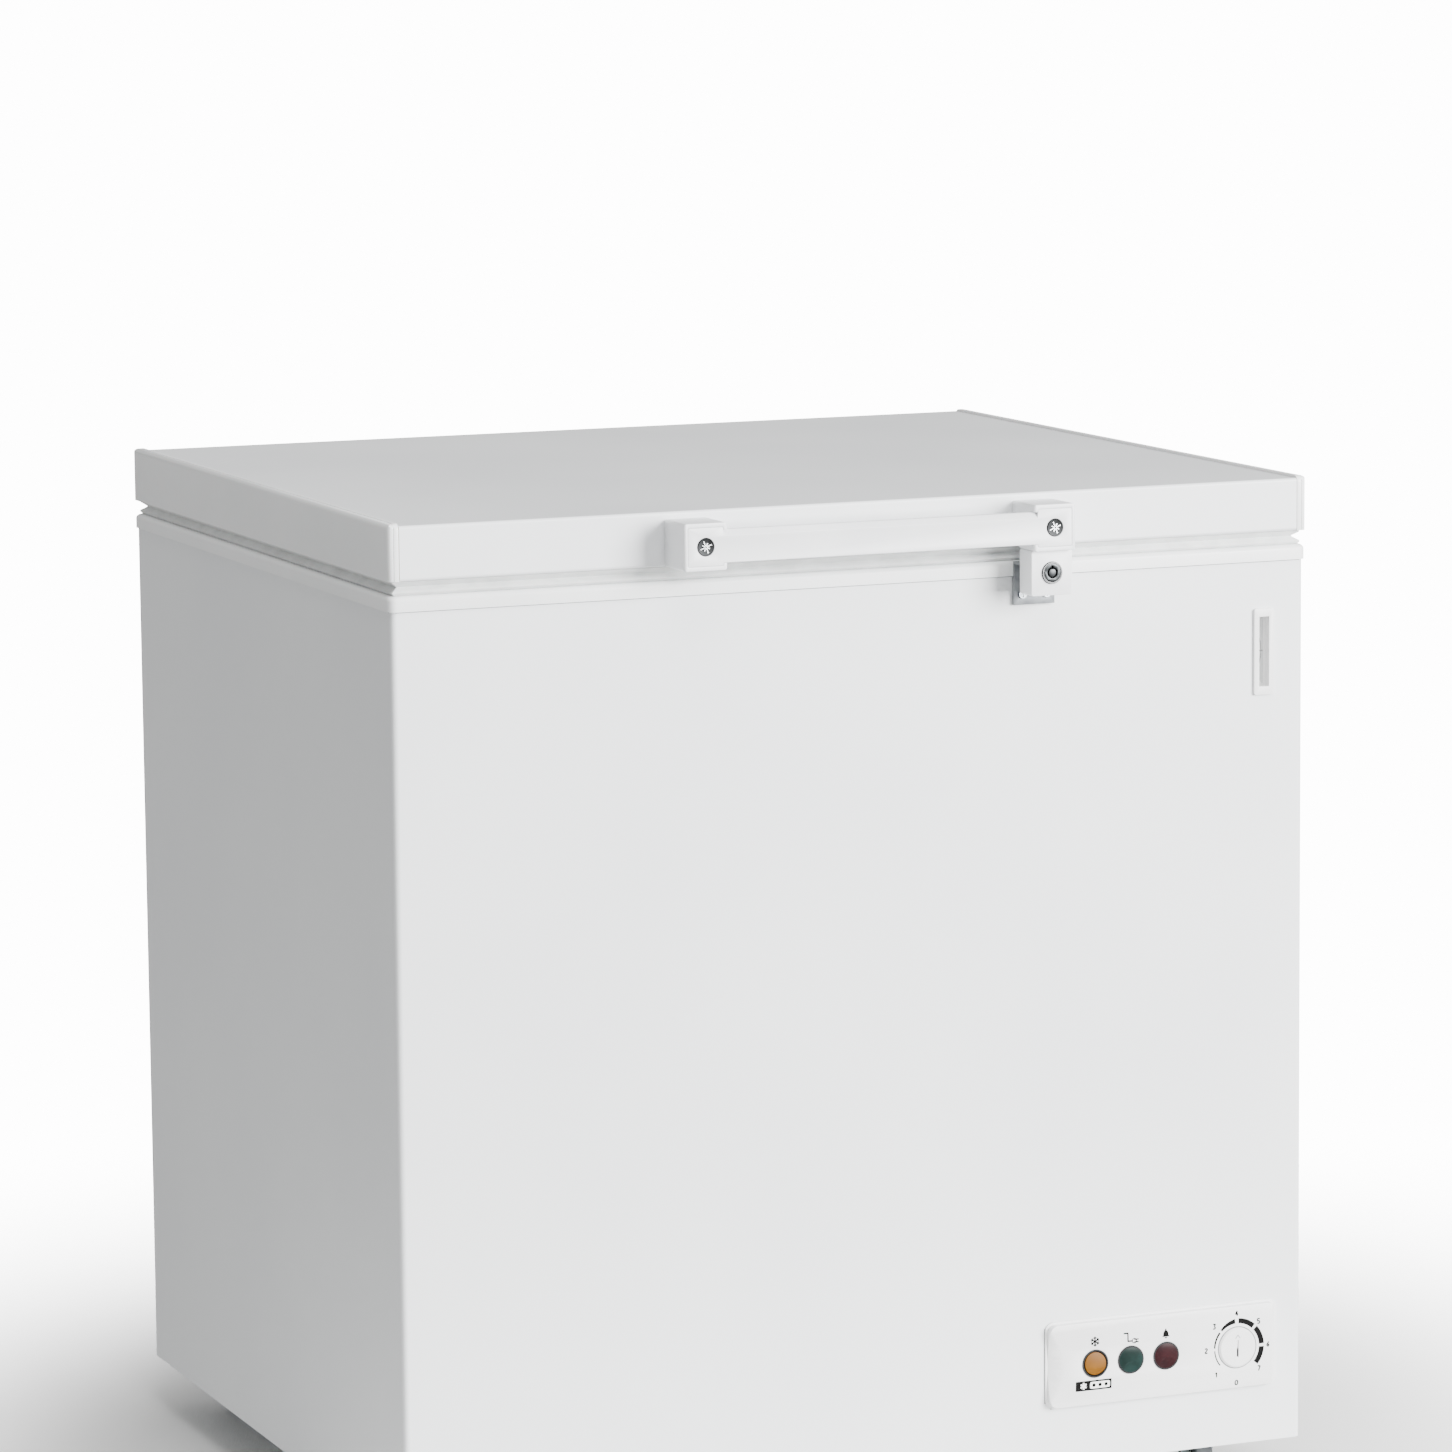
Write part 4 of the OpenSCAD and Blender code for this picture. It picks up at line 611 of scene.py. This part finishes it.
# fast freeze: a plain six-arm crystal
for turn in (90, 30, 150):
    u, v = 4.2 * MM * math.cos(math.radians(turn)), 4.2 * MM * math.sin(math.radians(turn))
    icons.append(stroke(lamp_xs[0] - u, icon_z - v, lamp_xs[0] + u, icon_z + v, 0.75 * MM))
    for end in (1, -1):
        for lean in (50, -50):
            tip = math.radians(turn + lean)
            x, z = lamp_xs[0] + end * u * 0.55, icon_z + end * v * 0.55
            icons.append(stroke(x, z, x + end * 1.7 * MM * math.cos(tip),
                z + end * 1.7 * MM * math.sin(tip), 0.6 * MM))
# power: a lead that steps down to a plug
plug_x = lamp_xs[1] - 6.4 * MM
icons += [
    stroke(plug_x, icon_z + 4 * MM, plug_x + 4 * MM, icon_z + 4 * MM, 0.8 * MM),
    stroke(plug_x + 4 * MM, icon_z + 4.4 * MM, plug_x + 4 * MM, icon_z - 3.4 * MM, 0.8 * MM),
    stroke(plug_x + 4 * MM, icon_z - 3 * MM, plug_x + 8 * MM, icon_z - 3 * MM, 0.8 * MM),
    stroke(plug_x + 10 * MM, icon_z - 1.9 * MM, plug_x + 14 * MM, icon_z - 1.9 * MM, 0.7 * MM),
    stroke(plug_x + 10 * MM, icon_z - 4.1 * MM, plug_x + 14 * MM, icon_z - 4.1 * MM, 0.7 * MM),
]
icons += band(plug_x + 10 * MM, icon_z - 3 * MM, 1.6 * MM, (2.3 * MM, 2.3 * MM), 0, 360, 20)
# alarm: a bell
bell = [(-3.6, -2.6), (3.6, -2.6), (2.6, -1.4), (2.3, 0.9), (1.3, 2.6), (0, 3.1), (-1.3, 2.6), (-2.3, 0.9),
    (-2.6, -1.4)]
icons.append([(lamp_xs[2] + x * MM, icon_z + z * MM) for x, z in bell])
icons += band(lamp_xs[2], icon_z - 3.0 * MM, 0.05 * MM, (1.1 * MM, 1.1 * MM), 180, 360, 8)
icons.append(stroke(lamp_xs[2], icon_z + 2.8 * MM, lamp_xs[2], icon_z + 4.2 * MM, 0.8 * MM))
inked("lamp_icons", icons, panel_low.y)

# Freezing-class plate: a black box with a white star and three stars in a white frame
plate_x, plate_z = lamp_xs[0] - 1.3 * MM, panel_mid_z - 18.6 * MM
inked("class_plate", [[
    (plate_x - 16.8 * MM, plate_z - 4.3 * MM), (plate_x + 16.8 * MM, plate_z - 4.3 * MM),
    (plate_x + 16.8 * MM, plate_z + 4.3 * MM), (plate_x - 16.8 * MM, plate_z + 4.3 * MM),
]], panel_low.y)
# White pad-printing ink over the black plate.
white_ink = grain(material("white_printing_ink", "#f3f3f2", 0.6), ("#efefee", "#f6f6f5"), 6.0, (0.5, 0.7),
    0.004, 0.4)
star_x = plate_x - 9.5 * MM
white_marks = [
    stroke(star_x - 3 * MM * math.cos(t), plate_z - 3 * MM * math.sin(t), star_x + 3 * MM * math.cos(t),
           plate_z + 3 * MM * math.sin(t), 1.0 * MM) for t in (math.radians(a) for a in (90, 30, 150))
]
box_x0, box_x1, box_h = plate_x - 3.4 * MM, plate_x + 15.2 * MM, 2.9 * MM
white_marks.append(
    arc(box_x1 - 1.4 * MM, plate_z + box_h - 1.4 * MM, 1.4 * MM, 0, 90, 4)
    + arc(box_x0 + 1.4 * MM, plate_z + box_h - 1.4 * MM, 1.4 * MM, 90, 180, 4)
    + arc(box_x0 + 1.4 * MM, plate_z - box_h + 1.4 * MM, 1.4 * MM, 180, 270, 4)
    + arc(box_x1 - 1.4 * MM, plate_z - box_h + 1.4 * MM, 1.4 * MM, 270, 360, 4)
)
white_print = inked("class_plate_white", white_marks, panel_low.y - INK_T, finish=white_ink)
dots = []
for i in range(3):
    x = box_x0 + (3.6 + 5.7 * i) * MM
    for t in (math.radians(a) for a in (90, 30, 150)):
        dots.append(stroke(x - 1.5 * MM * math.cos(t), plate_z - 1.5 * MM * math.sin(t),
                           x + 1.5 * MM * math.cos(t), plate_z + 1.5 * MM * math.sin(t), 0.8 * MM))
inked("class_plate_stars", dots, panel_low.y - 2 * INK_T)

# ---------------------------------------------------------------- painted shadow lines
# Painted shadow: thin grey strips lie under the mouth frame's overhang, along the left
# and lower edges of the control panel and round the knob, where shade falls in the joints.

# Matt grey for the painted shadow lines in the joints.
shadow_line_grey = grain(material("painted_shadow_line_grey", "#6f7275", 0.8, Specular_IOR_Level=0.2), ("#686b6e", "#777a7d"), 6.0,
    (0.72, 0.88), 0.02, 0.5)


def flat_box(low, high):
    """Corners and faces of a plain block."""
    verts = [(x, y, z) for x in (low[0], high[0]) for y in (low[1], high[1]) for z in (low[2], high[2])]
    return verts, [(0, 1, 3, 2), (4, 6, 7, 5), (0, 4, 5, 1), (2, 3, 7, 6), (0, 2, 6, 4), (1, 5, 7, 3)]


def seam(name, blocks):
    """Thin strips of painted shadow, each a block from its low to its high corner."""
    verts, faces = [], []
    for low, high in blocks:
        new_verts, new_faces = flat_box(low, high)
        faces += [tuple(i + len(verts) for i in face) for face in new_faces]
        verts += new_verts
    made = piece(name, verts, faces, shadow_line_grey, "cabinet", smooth=False)
    return made


sheet_low, sheet_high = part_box("cabinet_wrapper")
LINE, PROUD, CORNER = 0.7 * MM, 0.06 * MM, 4 * MM
# Painted shadow under the mouth frame's overhang, on the front and both sides.
seam("mouth_frame_shadow_line", [
    ((sheet_low.x + CORNER, sheet_low.y - PROUD, sheet_high.z - LINE),
        (sheet_high.x - CORNER, sheet_low.y + PROUD, sheet_high.z)),
    ((sheet_low.x - PROUD, sheet_low.y + CORNER, sheet_high.z - LINE),
        (sheet_low.x + PROUD, sheet_high.y - CORNER, sheet_high.z)),
    ((sheet_high.x - PROUD, sheet_low.y + CORNER, sheet_high.z - LINE),
        (sheet_high.x + PROUD, sheet_high.y - CORNER, sheet_high.z)),
])
# Painted shadow along the left and lower edges of the control panel.
PANEL_SHADOW_HALF, PANEL_CORNER = 0.45 * MM, 5 * MM
seam("panel_shadow_line", [
    ((panel_low.x - PANEL_SHADOW_HALF, sheet_low.y - PROUD, panel_low.z + PANEL_CORNER),
        (panel_low.x + PANEL_SHADOW_HALF, sheet_low.y, panel_high.z - PANEL_CORNER)),
    ((panel_low.x + PANEL_CORNER, sheet_low.y - PROUD, panel_low.z - PANEL_SHADOW_HALF),
        (panel_high.x - PANEL_CORNER, sheet_low.y, panel_low.z + PANEL_SHADOW_HALF)),
])

# ---------------------------------------------------------------- lamps and switch
# Two lamps and the fast-freeze rocker sit in black nylon rings pushed through the
# panel. The lenses are moulded acrylic with a dimple; the rocker is amber acrylic.


def tinted(name, colour, dark, roughness=0.3):
    """Tinted acrylic over a dark lamp: the colour deepens in soft patches."""
    return grain(
        material(name, colour, roughness, Specular_IOR_Level=0.15),
        (dark, colour), 14.0, (roughness, roughness + 0.05), 0.004, 6.0,
    )


green_acrylic = tinted("green_acrylic", "#0e2522", "#071a17")
red_acrylic = tinted("dark_red_acrylic", "#26070c", "#1c0408")
amber_acrylic = tinted("amber_acrylic", "#714804", "#684002", 0.4)
dress(black_nylon, "lamp_housings")


def lens(name, cad_name, finish):
    """A domed lens: a flat collar, a polished dome and a shallow dimple low on it."""
    low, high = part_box(cad_name)
    cx, cz, r = (low.x + high.x) / 2, (low.z + high.z) / 2, (high.x - low.x) / 2
    turns, rows = 48, 9
    verts, faces = [], []
    for row in range(rows + 1):
        share = row / rows
        for i in range(turns):
            t = 2 * math.pi * i / turns
            x, z = r * share * math.cos(t), r * share * math.sin(t)
            y = low.y + 0.7 * MM * share**3
            dimple = max(0.0, 1 - ((x / (0.62 * r)) ** 2 + ((z + 0.62 * r) / (0.5 * r)) ** 2))
            y += 0.9 * MM * dimple**0.7
            verts.append((cx + x, y, cz + z))
    for i in range(turns):
        t = 2 * math.pi * i / turns
        verts.append((cx + r * math.cos(t), high.y, cz + r * math.sin(t)))
    for row in range(rows + 1):
        for i in range(turns):
            j = (i + 1) % turns
            a, b = row * turns, (row + 1) * turns
            faces.append((a + i, a + j, b + j, b + i))
    faces.append(tuple((rows + 1) * turns + i for i in range(turns)))
    return piece(name, verts, faces, finish, "cabinet", cad_name)


lens("power_lens", "power_lamp_lens", green_acrylic)
lens("alarm_lens", "alarm_lamp_lens", red_acrylic)
softened("fast_freeze_rocker", "super_switch_rocker", amber_acrylic, "rocker", 0.5 * MM)

# ---------------------------------------------------------------- thermostat knob
# The knob is moulded in white ABS and set in the panel, with a slot for a coin in its
# face and a printed arrow over it. Its spindle runs in the thermostat behind the panel.
softened("thermostat_dial_knob", "thermostat_knob", panel_abs, "knob", 0.35 * MM)
knob_face = knob_low.y + 0.02 * MM
# Painted shadow: a thin grey ring round the knob stands for the shade in the gap between the panel and the
# knob.
knob_edge = (knob_high.x - knob_low.x) / 2
KNOB_SHADOW_IN, KNOB_SHADOW_OUT = 0.3 * MM, 0.85 * MM
knob_shadow_marks = band(knob_x, knob_z, knob_edge + KNOB_SHADOW_IN, (knob_edge + KNOB_SHADOW_OUT,) * 2, 0, 360, 48)
inked("knob_shadow_ring", knob_shadow_marks, panel_low.y, finish=shadow_line_grey)
# Light grey pad-printing ink for the arrow over the slot.
grey_ink = grain(material("grey_printing_ink", "#a9abad", 0.6), ("#a3a5a7", "#afb1b3"), 6.0, (0.5, 0.7),
    0.004, 0.4)
arrow = [
    stroke(knob_x, knob_z + 11.2 * MM, knob_x - 2.2 * MM, knob_z + 8.2 * MM, 0.6 * MM),
    stroke(knob_x, knob_z + 11.2 * MM, knob_x + 2.2 * MM, knob_z + 8.2 * MM, 0.6 * MM),
]
inked("knob_arrow", arrow, knob_face, body="knob", crown=False, finish=grey_ink)

# ---------------------------------------------------------------- strip thermometer
# A moulded white frame holds a clear acrylic window. Behind it is a printed dial
# with a curved index line, and a thin black needle that rises as the tank warms.
softened("thermometer_frame", "thermometer_case", panel_abs, "cabinet", 0.5 * MM)
# Card-white printed aluminium dial.
dial_white = grain(material("printed_dial_white", "#f0f0ee", 0.5), ("#ecebe9", "#f3f3f1"), 20.0,
    (0.45, 0.55), 0.004, 0.5)
dress(dial_white, "thermometer_dial")
dress(black_nylon, "thermometer_needle")
# Clear polished acrylic.
clear_acrylic = grain(
    material("clear_acrylic", "#ffffff", 0.05, IOR=1.49, Alpha=0.08),
    ("#f8fafa", "#ffffff"), 40.0, (0.02, 0.06), 0.002, 20.0,
)
dress(clear_acrylic, "thermometer_lens")
window_low, window_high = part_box("thermometer_lens")
window_x, window_z = window_low.x, (window_low.z + window_high.z) / 2
window_w, window_h = window_high.x - window_low.x, window_high.z - window_low.z
dial_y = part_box("thermometer_dial")[1].y - 1.0 * MM
# Grey screen-printing ink on the dial.
dial_grey = grain(material("grey_dial_ink", "#b9bcbc", 0.55), ("#b2b5b5", "#c0c3c3"), 6.0, (0.5, 0.6),
    0.004, 0.4)
sag, half_line = 0.62 * window_w, 0.33 * window_h
line_r = (half_line**2 + sag**2) / (2 * sag)
line_cx = window_x + 0.14 * window_w + sag - line_r
spread = math.degrees(math.asin(half_line / line_r))
edge = [(line_cx + line_r * math.cos(a), window_z + line_r * math.sin(a))
        for a in (math.radians(-spread + 2 * spread * i / 16) for i in range(17))]
strips = []
for i in range(16):
    (x0, z0), (x1, z1) = edge[i], edge[i + 1]
    strips.append([(x0, z0), (window_x + window_w, z0), (window_x + window_w, z1), (x1, z1)])
for sign in (1, -1):
    x0, z0 = edge[16] if sign > 0 else edge[0]
    strips.append([(x0 + 0.1 * window_w, z0), (window_x + window_w, z0),
        (window_x + window_w, window_z + sign * 0.47 * window_h),
                   (window_x + 0.8 * window_w, window_z + sign * 0.47 * window_h)])
inked("thermometer_shade", strips, dial_y, crown=False, finish=dial_grey)
index_line = band(line_cx, window_z, line_r - 0.45 * MM, (line_r + 0.35 * MM,) * 2, -spread, spread, 20)
for end_x, end_z in (edge[0], edge[-1]):
    index_line += band(end_x, end_z, 0.02 * MM, (0.95 * MM,) * 2, 0, 360, 12)
inked("thermometer_index", index_line, dial_y - INK_T, crown=False)
ring_z = edge[0][1] - 3.6 * MM
zero_ring = band(window_x + 0.42 * window_w, ring_z, 0.7 * MM, (1.5 * MM,) * 2, 0, 360, 16)
inked("thermometer_zero_ring", zero_ring, dial_y - INK_T, crown=False)
TICKS = 21
tick = source_mesh("dial_tick", [
    (0, 0, -0.16 * MM), (1.6 * MM, 0, -0.16 * MM), (1.6 * MM, 0, 0.16 * MM), (0, 0, 0.16 * MM),
    (0, INK_T, -0.16 * MM), (1.6 * MM, INK_T, -0.16 * MM), (1.6 * MM, INK_T, 0.16 * MM),
    (0, INK_T, 0.16 * MM),
], [(0, 1, 2, 3), (7, 6, 5, 4), (0, 4, 5, 1), (1, 5, 6, 2), (2, 6, 7, 3), (3, 7, 4, 0)])
ticks = grow(
    "thermometer_ticks", row_tree("dial_ticks", print_ink), print_ink, "cabinet", source=tick,
    values={"Count": TICKS, "Start": (window_x + 0.3 * MM, dial_y - 2 * INK_T, window_z - 0.3 * window_h),
            "Step": (0, 0, 0.6 * window_h / (TICKS - 1))},
)

# ---------------------------------------------------------------- drain
# Melt water leaves by a white polypropylene tube from the tank floor. A grey plug
# with a finger tab shuts it from inside.
dress(white_plastic, "drain_tube")
# Grey polypropylene, satin.
grey_plastic = grain(
    material("grey_polypropylene", "#c3c5c7", 0.38, IOR=1.49), ("#bfc1c3", "#c8cacb"), 60.0, (0.34, 0.44),
    0.008, 0.5,
)
dress(grey_plastic, "drain_plug")

# ---------------------------------------------------------------- basket
# The basket is welded from bright wire and dipped in white PVC. It hangs on the
# mouth by four hooks and slides along the tank.
WIRE_R = 2 * MM
basket_low, basket_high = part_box("storage_basket")
# White PVC dip coat: glossy and slightly uneven where it ran.
pvc_dip = grain(
    material("white_pvc_dip", "#f0f1f1", 0.25, Coat_Weight=0.4), ("#ebecec", "#f4f4f4"), 20.0, (0.2, 0.3),
    0.08, 5.0,
)
hook_x = [basket_low.x + 22 * MM, basket_high.x - 22 * MM]
mouth_y = (basket_low.y + basket_high.y) / 2
hook_out = (basket_high.y - basket_low.y) / 2
hook_in = hook_out - 30 * MM - 2 * WIRE_R + WIRE_R
side_y = hook_in - 14 * MM
basket_floor = basket_low.z + WIRE_R
basket_rim = basket_high.z - WIRE_R - 30.8 * MM
BARS_ACROSS, BARS_ALONG = 9, 22
wires, joins = [], []


def wire(*points):
    """One length of wire through the points."""
    start = len(wires)
    wires.extend(points)
    joins.extend((start + i, start + i + 1) for i in range(len(points) - 1))


def hoop(z, x0, x1, y0, y1, bend=12 * MM):
    """A level hoop of wire with round corners."""
    points = []
    for cx, cy, start in ((x1 - bend, y1 - bend, 0), (x0 + bend, y1 - bend, 90),
            (x0 + bend, y0 + bend, 180), (x1 - bend, y0 + bend, 270)):
        points += [(x, y, z) for x, y in arc(cx, cy, bend, start, start + 90, 5)]
    wire(*points, points[0])


x0, x1 = basket_low.x + WIRE_R, basket_high.x - WIRE_R
for z in (basket_floor, (basket_floor + basket_rim) / 2, basket_rim):
    hoop(z, x0, x1, mouth_y - side_y, mouth_y + side_y)
for i in range(1, BARS_ACROSS):
    x = x0 + i * (x1 - x0) / BARS_ACROSS
    wire((x, mouth_y - side_y, basket_rim), (x, mouth_y - side_y, basket_floor),
        (x, mouth_y + side_y, basket_floor),
         (x, mouth_y + side_y, basket_rim))
for i in range(1, BARS_ALONG):
    y = mouth_y - side_y + i * 2 * side_y / BARS_ALONG
    wire((x0, y, basket_rim), (x0, y, basket_floor), (x1, y, basket_floor), (x1, y, basket_rim))
for x in hook_x:
    for s in (-1, 1):
        wire((x, mouth_y + s * side_y, basket_rim), (x, mouth_y + s * (hook_in - 3 * MM), basket_rim),
             (x, mouth_y + s * hook_in, basket_rim + 3 * MM),
             (x, mouth_y + s * hook_in, basket_high.z - WIRE_R - 3 * MM),
             (x, mouth_y + s * (hook_in + 3 * MM), basket_high.z - WIRE_R),
             (x, mouth_y + s * (hook_out - WIRE_R), basket_high.z - WIRE_R))
basket_tree, basket_in, basket_out = tree_of("basket_wires", ("Wire radius", "Float", 0.002))
basket_curve = add(basket_tree, "GeometryNodeMeshToCurve", {"Mesh": basket_in.outputs[0]})
basket_section = add(basket_tree, "GeometryNodeCurvePrimitiveCircle",
    {"Resolution": 10, "Radius": basket_in.outputs["Wire radius"]})
basket_sweep = add(basket_tree, "GeometryNodeCurveToMesh", {
    "Curve": basket_curve.outputs[0], "Profile Curve": basket_section.outputs[0], "Fill Caps": True,
})
close_tree(basket_tree, basket_sweep.outputs[0], pvc_dip, basket_out)
basket_lines = bpy.data.meshes.new("basket_lines")
basket_lines.from_pydata(wires, joins, [])
grow("wire_basket", basket_tree, pvc_dip, "basket", "storage_basket", source=basket_lines,
    values={"Wire radius": WIRE_R})

# ---------------------------------------------------------------- castors
# Four swivel castors: pressed zinc-plated plates and forks, a riveted axle, and a
# grey thermoplastic rubber tyre moulded on a polypropylene hub with a raised boss.
dress(zinc_plate, "castor_plates", "castor_front_left", "castor_front_right", "castor_rear_left",
    "castor_rear_right")
# Grey thermoplastic rubber, matt, with a fine grain and scuffs from the floor.
tyre_rubber = grain(
    material("grey_tyre_rubber", "#4b4e51", 0.7), ("#434649", "#5a5d5f"), 9.0, (0.6, 0.8), 0.05, 0.9,
)
for corner in ("front_left", "front_right", "rear_left", "rear_right"):
    low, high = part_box("wheel_" + corner)
    cx, cy, cz = (low + high) / 2
    r, half = (high.z - low.z) / 2, (high.x - low.x) / 2
    bore = 3.05 * MM
    half_outline = [(bore, half - 0.1 * MM), (5.5 * MM, half - 0.1 * MM), (6.2 * MM, half - 2.2 * MM),
        (r - 5.5 * MM, half - 2.6 * MM),
                    (r - 4.6 * MM, half - 0.8 * MM), (r - 3.2 * MM, half), (r - 1.4 * MM, half - 0.5 * MM),
                    (r - 0.3 * MM, half - 2.2 * MM),
                    (r, half - 4.2 * MM)]
    outline = half_outline + [(u, -v) for u, v in reversed(half_outline)]
    turns, n = 56, len(half_outline) * 2
    verts = [(cx + v, cy + u * math.cos(t), cz + u * math.sin(t))
             for t in (2 * math.pi * i / turns for i in range(turns)) for u, v in outline]
    faces = [(i * n + k, (i + 1) % turns * n + k, (i + 1) % turns * n + (k + 1) % n, i * n + (k + 1) % n)
             for i in range(turns) for k in range(n)]
    piece("castor_wheel_" + corner, verts, faces, tyre_rubber, "wheel_" + corner, "wheel_" + corner)

# ---------------------------------------------------------------- lid
# One sheet of coated steel is folded over the top, front and rear of the lid. The
# ends are shut by moulded caps, and foam joins it to a vacuum-formed inner panel.
dress(powder_coat, "lid_skin")
softened("lid_caps", "lid_end_caps", white_plastic, "lid", 0.4 * MM, 2)
# White high-impact polystyrene, formed over a grained mould: soft satin.
polystyrene = grain(
    material("white_polystyrene", "#f0f1f1", 0.3, IOR=1.59), ("#edeeee", "#f3f3f3"), 120.0, (0.26, 0.36),
    0.02, 1.2,
)
softened("lid_liner", "lid_inner_panel", polystyrene, "lid", 1.0 * MM)

# ---------------------------------------------------------------- gasket
# A soft PVC bellows with a magnet strip in its foot runs round the lid. It is
# extruded, cut at 45 degrees and welded at the four corners.

# Plasticised PVC: pale grey, satin, slightly dusty in its folds.
soft_pvc = grain(
    material("grey_soft_pvc", "#dcdedd", 0.5, Subsurface_Weight=0.05, Subsurface_Scale=0.003),
    ("#d5d7d6", "#e0e2e1"), 16.0, (0.44, 0.58), 0.02, 1.0,
)
gasket_low, gasket_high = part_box("lid_gasket")
gasket_h = gasket_high.z - gasket_low.z
bellows = [
    (1.4, 1.0), (0.9, 0.92), (1.2, 0.84), (5.5, 0.6), (5.9, 0.55), (5.5, 0.5), (1.0, 0.27), (0.6, 0.2),
    (0.9, 0.13),
    (2.4, 0.0), (15.2, 0.0), (14.6, 0.3), (14.4, 0.5), (16.0, 0.62), (16.2, 0.8), (16.0, 1.0),
]
gasket_outline = [(u * MM, gasket_low.z + v * gasket_h) for u, v in bellows]
piece("bellows_gasket", *ring(gasket_outline, gasket_low, gasket_high, 0.8 * MM, 0.8 * MM, 2), soft_pvc,
    "lid", "lid_gasket")

# ---------------------------------------------------------------- handle
# Two open-fronted posts are screwed to the lid through one moulding, which is the
# grip and its two end plates together. Round caps cover the screw heads.

# White ABS, moulded with a fine grain.
handle_abs = grain(
    material("handle_white_abs", "#e9eaec", 0.36, IOR=1.53), ("#e7e8ea", "#ecedee"), 60.0, (0.32, 0.4),
    0.008, 0.5,
)
softened("handle_post_shells", "handle_posts", handle_abs, "lid", 0.5 * MM)
softened("handle_grip", "handle_bar", handle_abs, "lid", 0.6 * MM)
# Black-chromed caps: dark, smooth, with a bright edge from the bevel.
dark_chrome = grain(
    material("dark_chrome", "#18191a", 0.35, Metallic=0.7), ("#131415", "#1e2021"), 10.0, (0.28, 0.42),
    0.01, 1.5,
)
caps_low, caps_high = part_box("handle_caps")
cap_r = (caps_high.z - caps_low.z) / 2


def turned(name, outline, centre, finish, body, *replaced, turns=48):
    """A turned piece about a line along y. The outline is (radius, depth from the front) in millimetres."""
    verts, faces, n = [], [], len(outline)
    for c in centre:
        start = len(verts)
        for i in range(turns):
            t = 2 * math.pi * i / turns
            verts += [(c[0] + u * MM * math.cos(t), c[1] + v * MM, c[2] + u * MM * math.sin(t)) for u,
                v in outline]
        for i in range(turns):
            j = (i + 1) % turns
            faces += [(start + i * n + k, start + j * n + k, start + j * n + k + 1,
                start + i * n + k + 1) for k in range(n - 1)]
    return piece(name, verts, faces, finish, body, *replaced)


cap_places = [(x, caps_low.y, (caps_low.z + caps_high.z) / 2) for x in (caps_low.x + cap_r,
    caps_high.x - cap_r)]
turned("screw_caps", [(0, 0.25), (2.4, 0.25), (2.7, 0.5), (3.2, 0.5), (3.5, 0.2), (6.0, 0.1), (6.9, 0.0),
    (7.5, 0.55), (7.5, 2.2), (0, 2.2)],
       cap_places, dark_chrome, "lid", "handle_caps")
# Painted highlight: thin bright chrome strokes in an eight-point star on each cap's dark cup stand for the
# glint off the screw head's cross recess.
recess_glint_chrome = grain(
    material("recess_glint_chrome", "#d4d6d8", 0.25, Metallic=1.0), ("#c8cacc", "#dee0e1"), 6.0, (0.2, 0.32),
    0.004, 0.8,
)
glint_strokes = []
for cx, cy, cz in cap_places:
    for turn in (22, 67, 112, 157):
        reach = (5.2 if turn in (22, 112) else 3.6) * MM
        dx, dz = reach * math.cos(math.radians(turn)), reach * math.sin(math.radians(turn))
        glint_strokes.append(stroke(cx - dx, cz - dz, cx + dx, cz + dz, 0.55 * MM))
inked("cap_painted_glint", glint_strokes, caps_low.y + INK_T, body="lid", crown=False, finish=recess_glint_chrome)

# ---------------------------------------------------------------- lock
# A white moulded block under the right post carries a tubular-key lock. The chrome
# barrel turns a steel cam that hooks under a striker screwed to the cabinet.
softened("lock_block", "lock_housing", handle_abs, "lid", 0.8 * MM)
# Chrome plate on brass, dulled by handling.
chrome = grain(
    material("chrome_plate", "#3c3e3f", 0.34, Metallic=1.0), ("#343637", "#444647"), 10.0, (0.26, 0.42),
    0.006, 1.0,
)
softened("key_barrel", "lock_barrel", chrome, "lock", 0.2 * MM, 2)
lock_low, lock_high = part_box("lock_barrel")
block_low, block_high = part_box("lock_housing")
lock_x, lock_z = (lock_low.x + lock_high.x) / 2, (lock_low.z + lock_high.z) / 2
lock_ring = turned(
    "lock_ring", [(7.9, 1.8), (7.9, 0.2), (8.3, -0.1), (8.9, 0.1), (9.3, 0.7), (9.4, 1.8)],
    [(lock_x, block_low.y, lock_z)], dark_chrome, "lid",
)
# Zinc-plated steel, darkened to paint the shade that falls on the striker under the lock block.
shade_darkened_zinc = grain(
    material("zinc_steel_darkened_for_shade", "#8c8f92", 0.5, Metallic=0.5), ("#83868a", "#969a9d"), 10.0, (0.42, 0.58),
    0.02, 0.6,
)
softened("striker", "lock_catch", shade_darkened_zinc, "cabinet", 0.5 * MM)

# ---------------------------------------------------------------- hinges
# Each hinge is a folded galvanised bracket on the rear wall and an arm on the lid,
# joined by a steel pin. A coil spring on the pin takes most of the lid's weight.
dress(galvanised, "hinge_brackets", "hinge_arms")
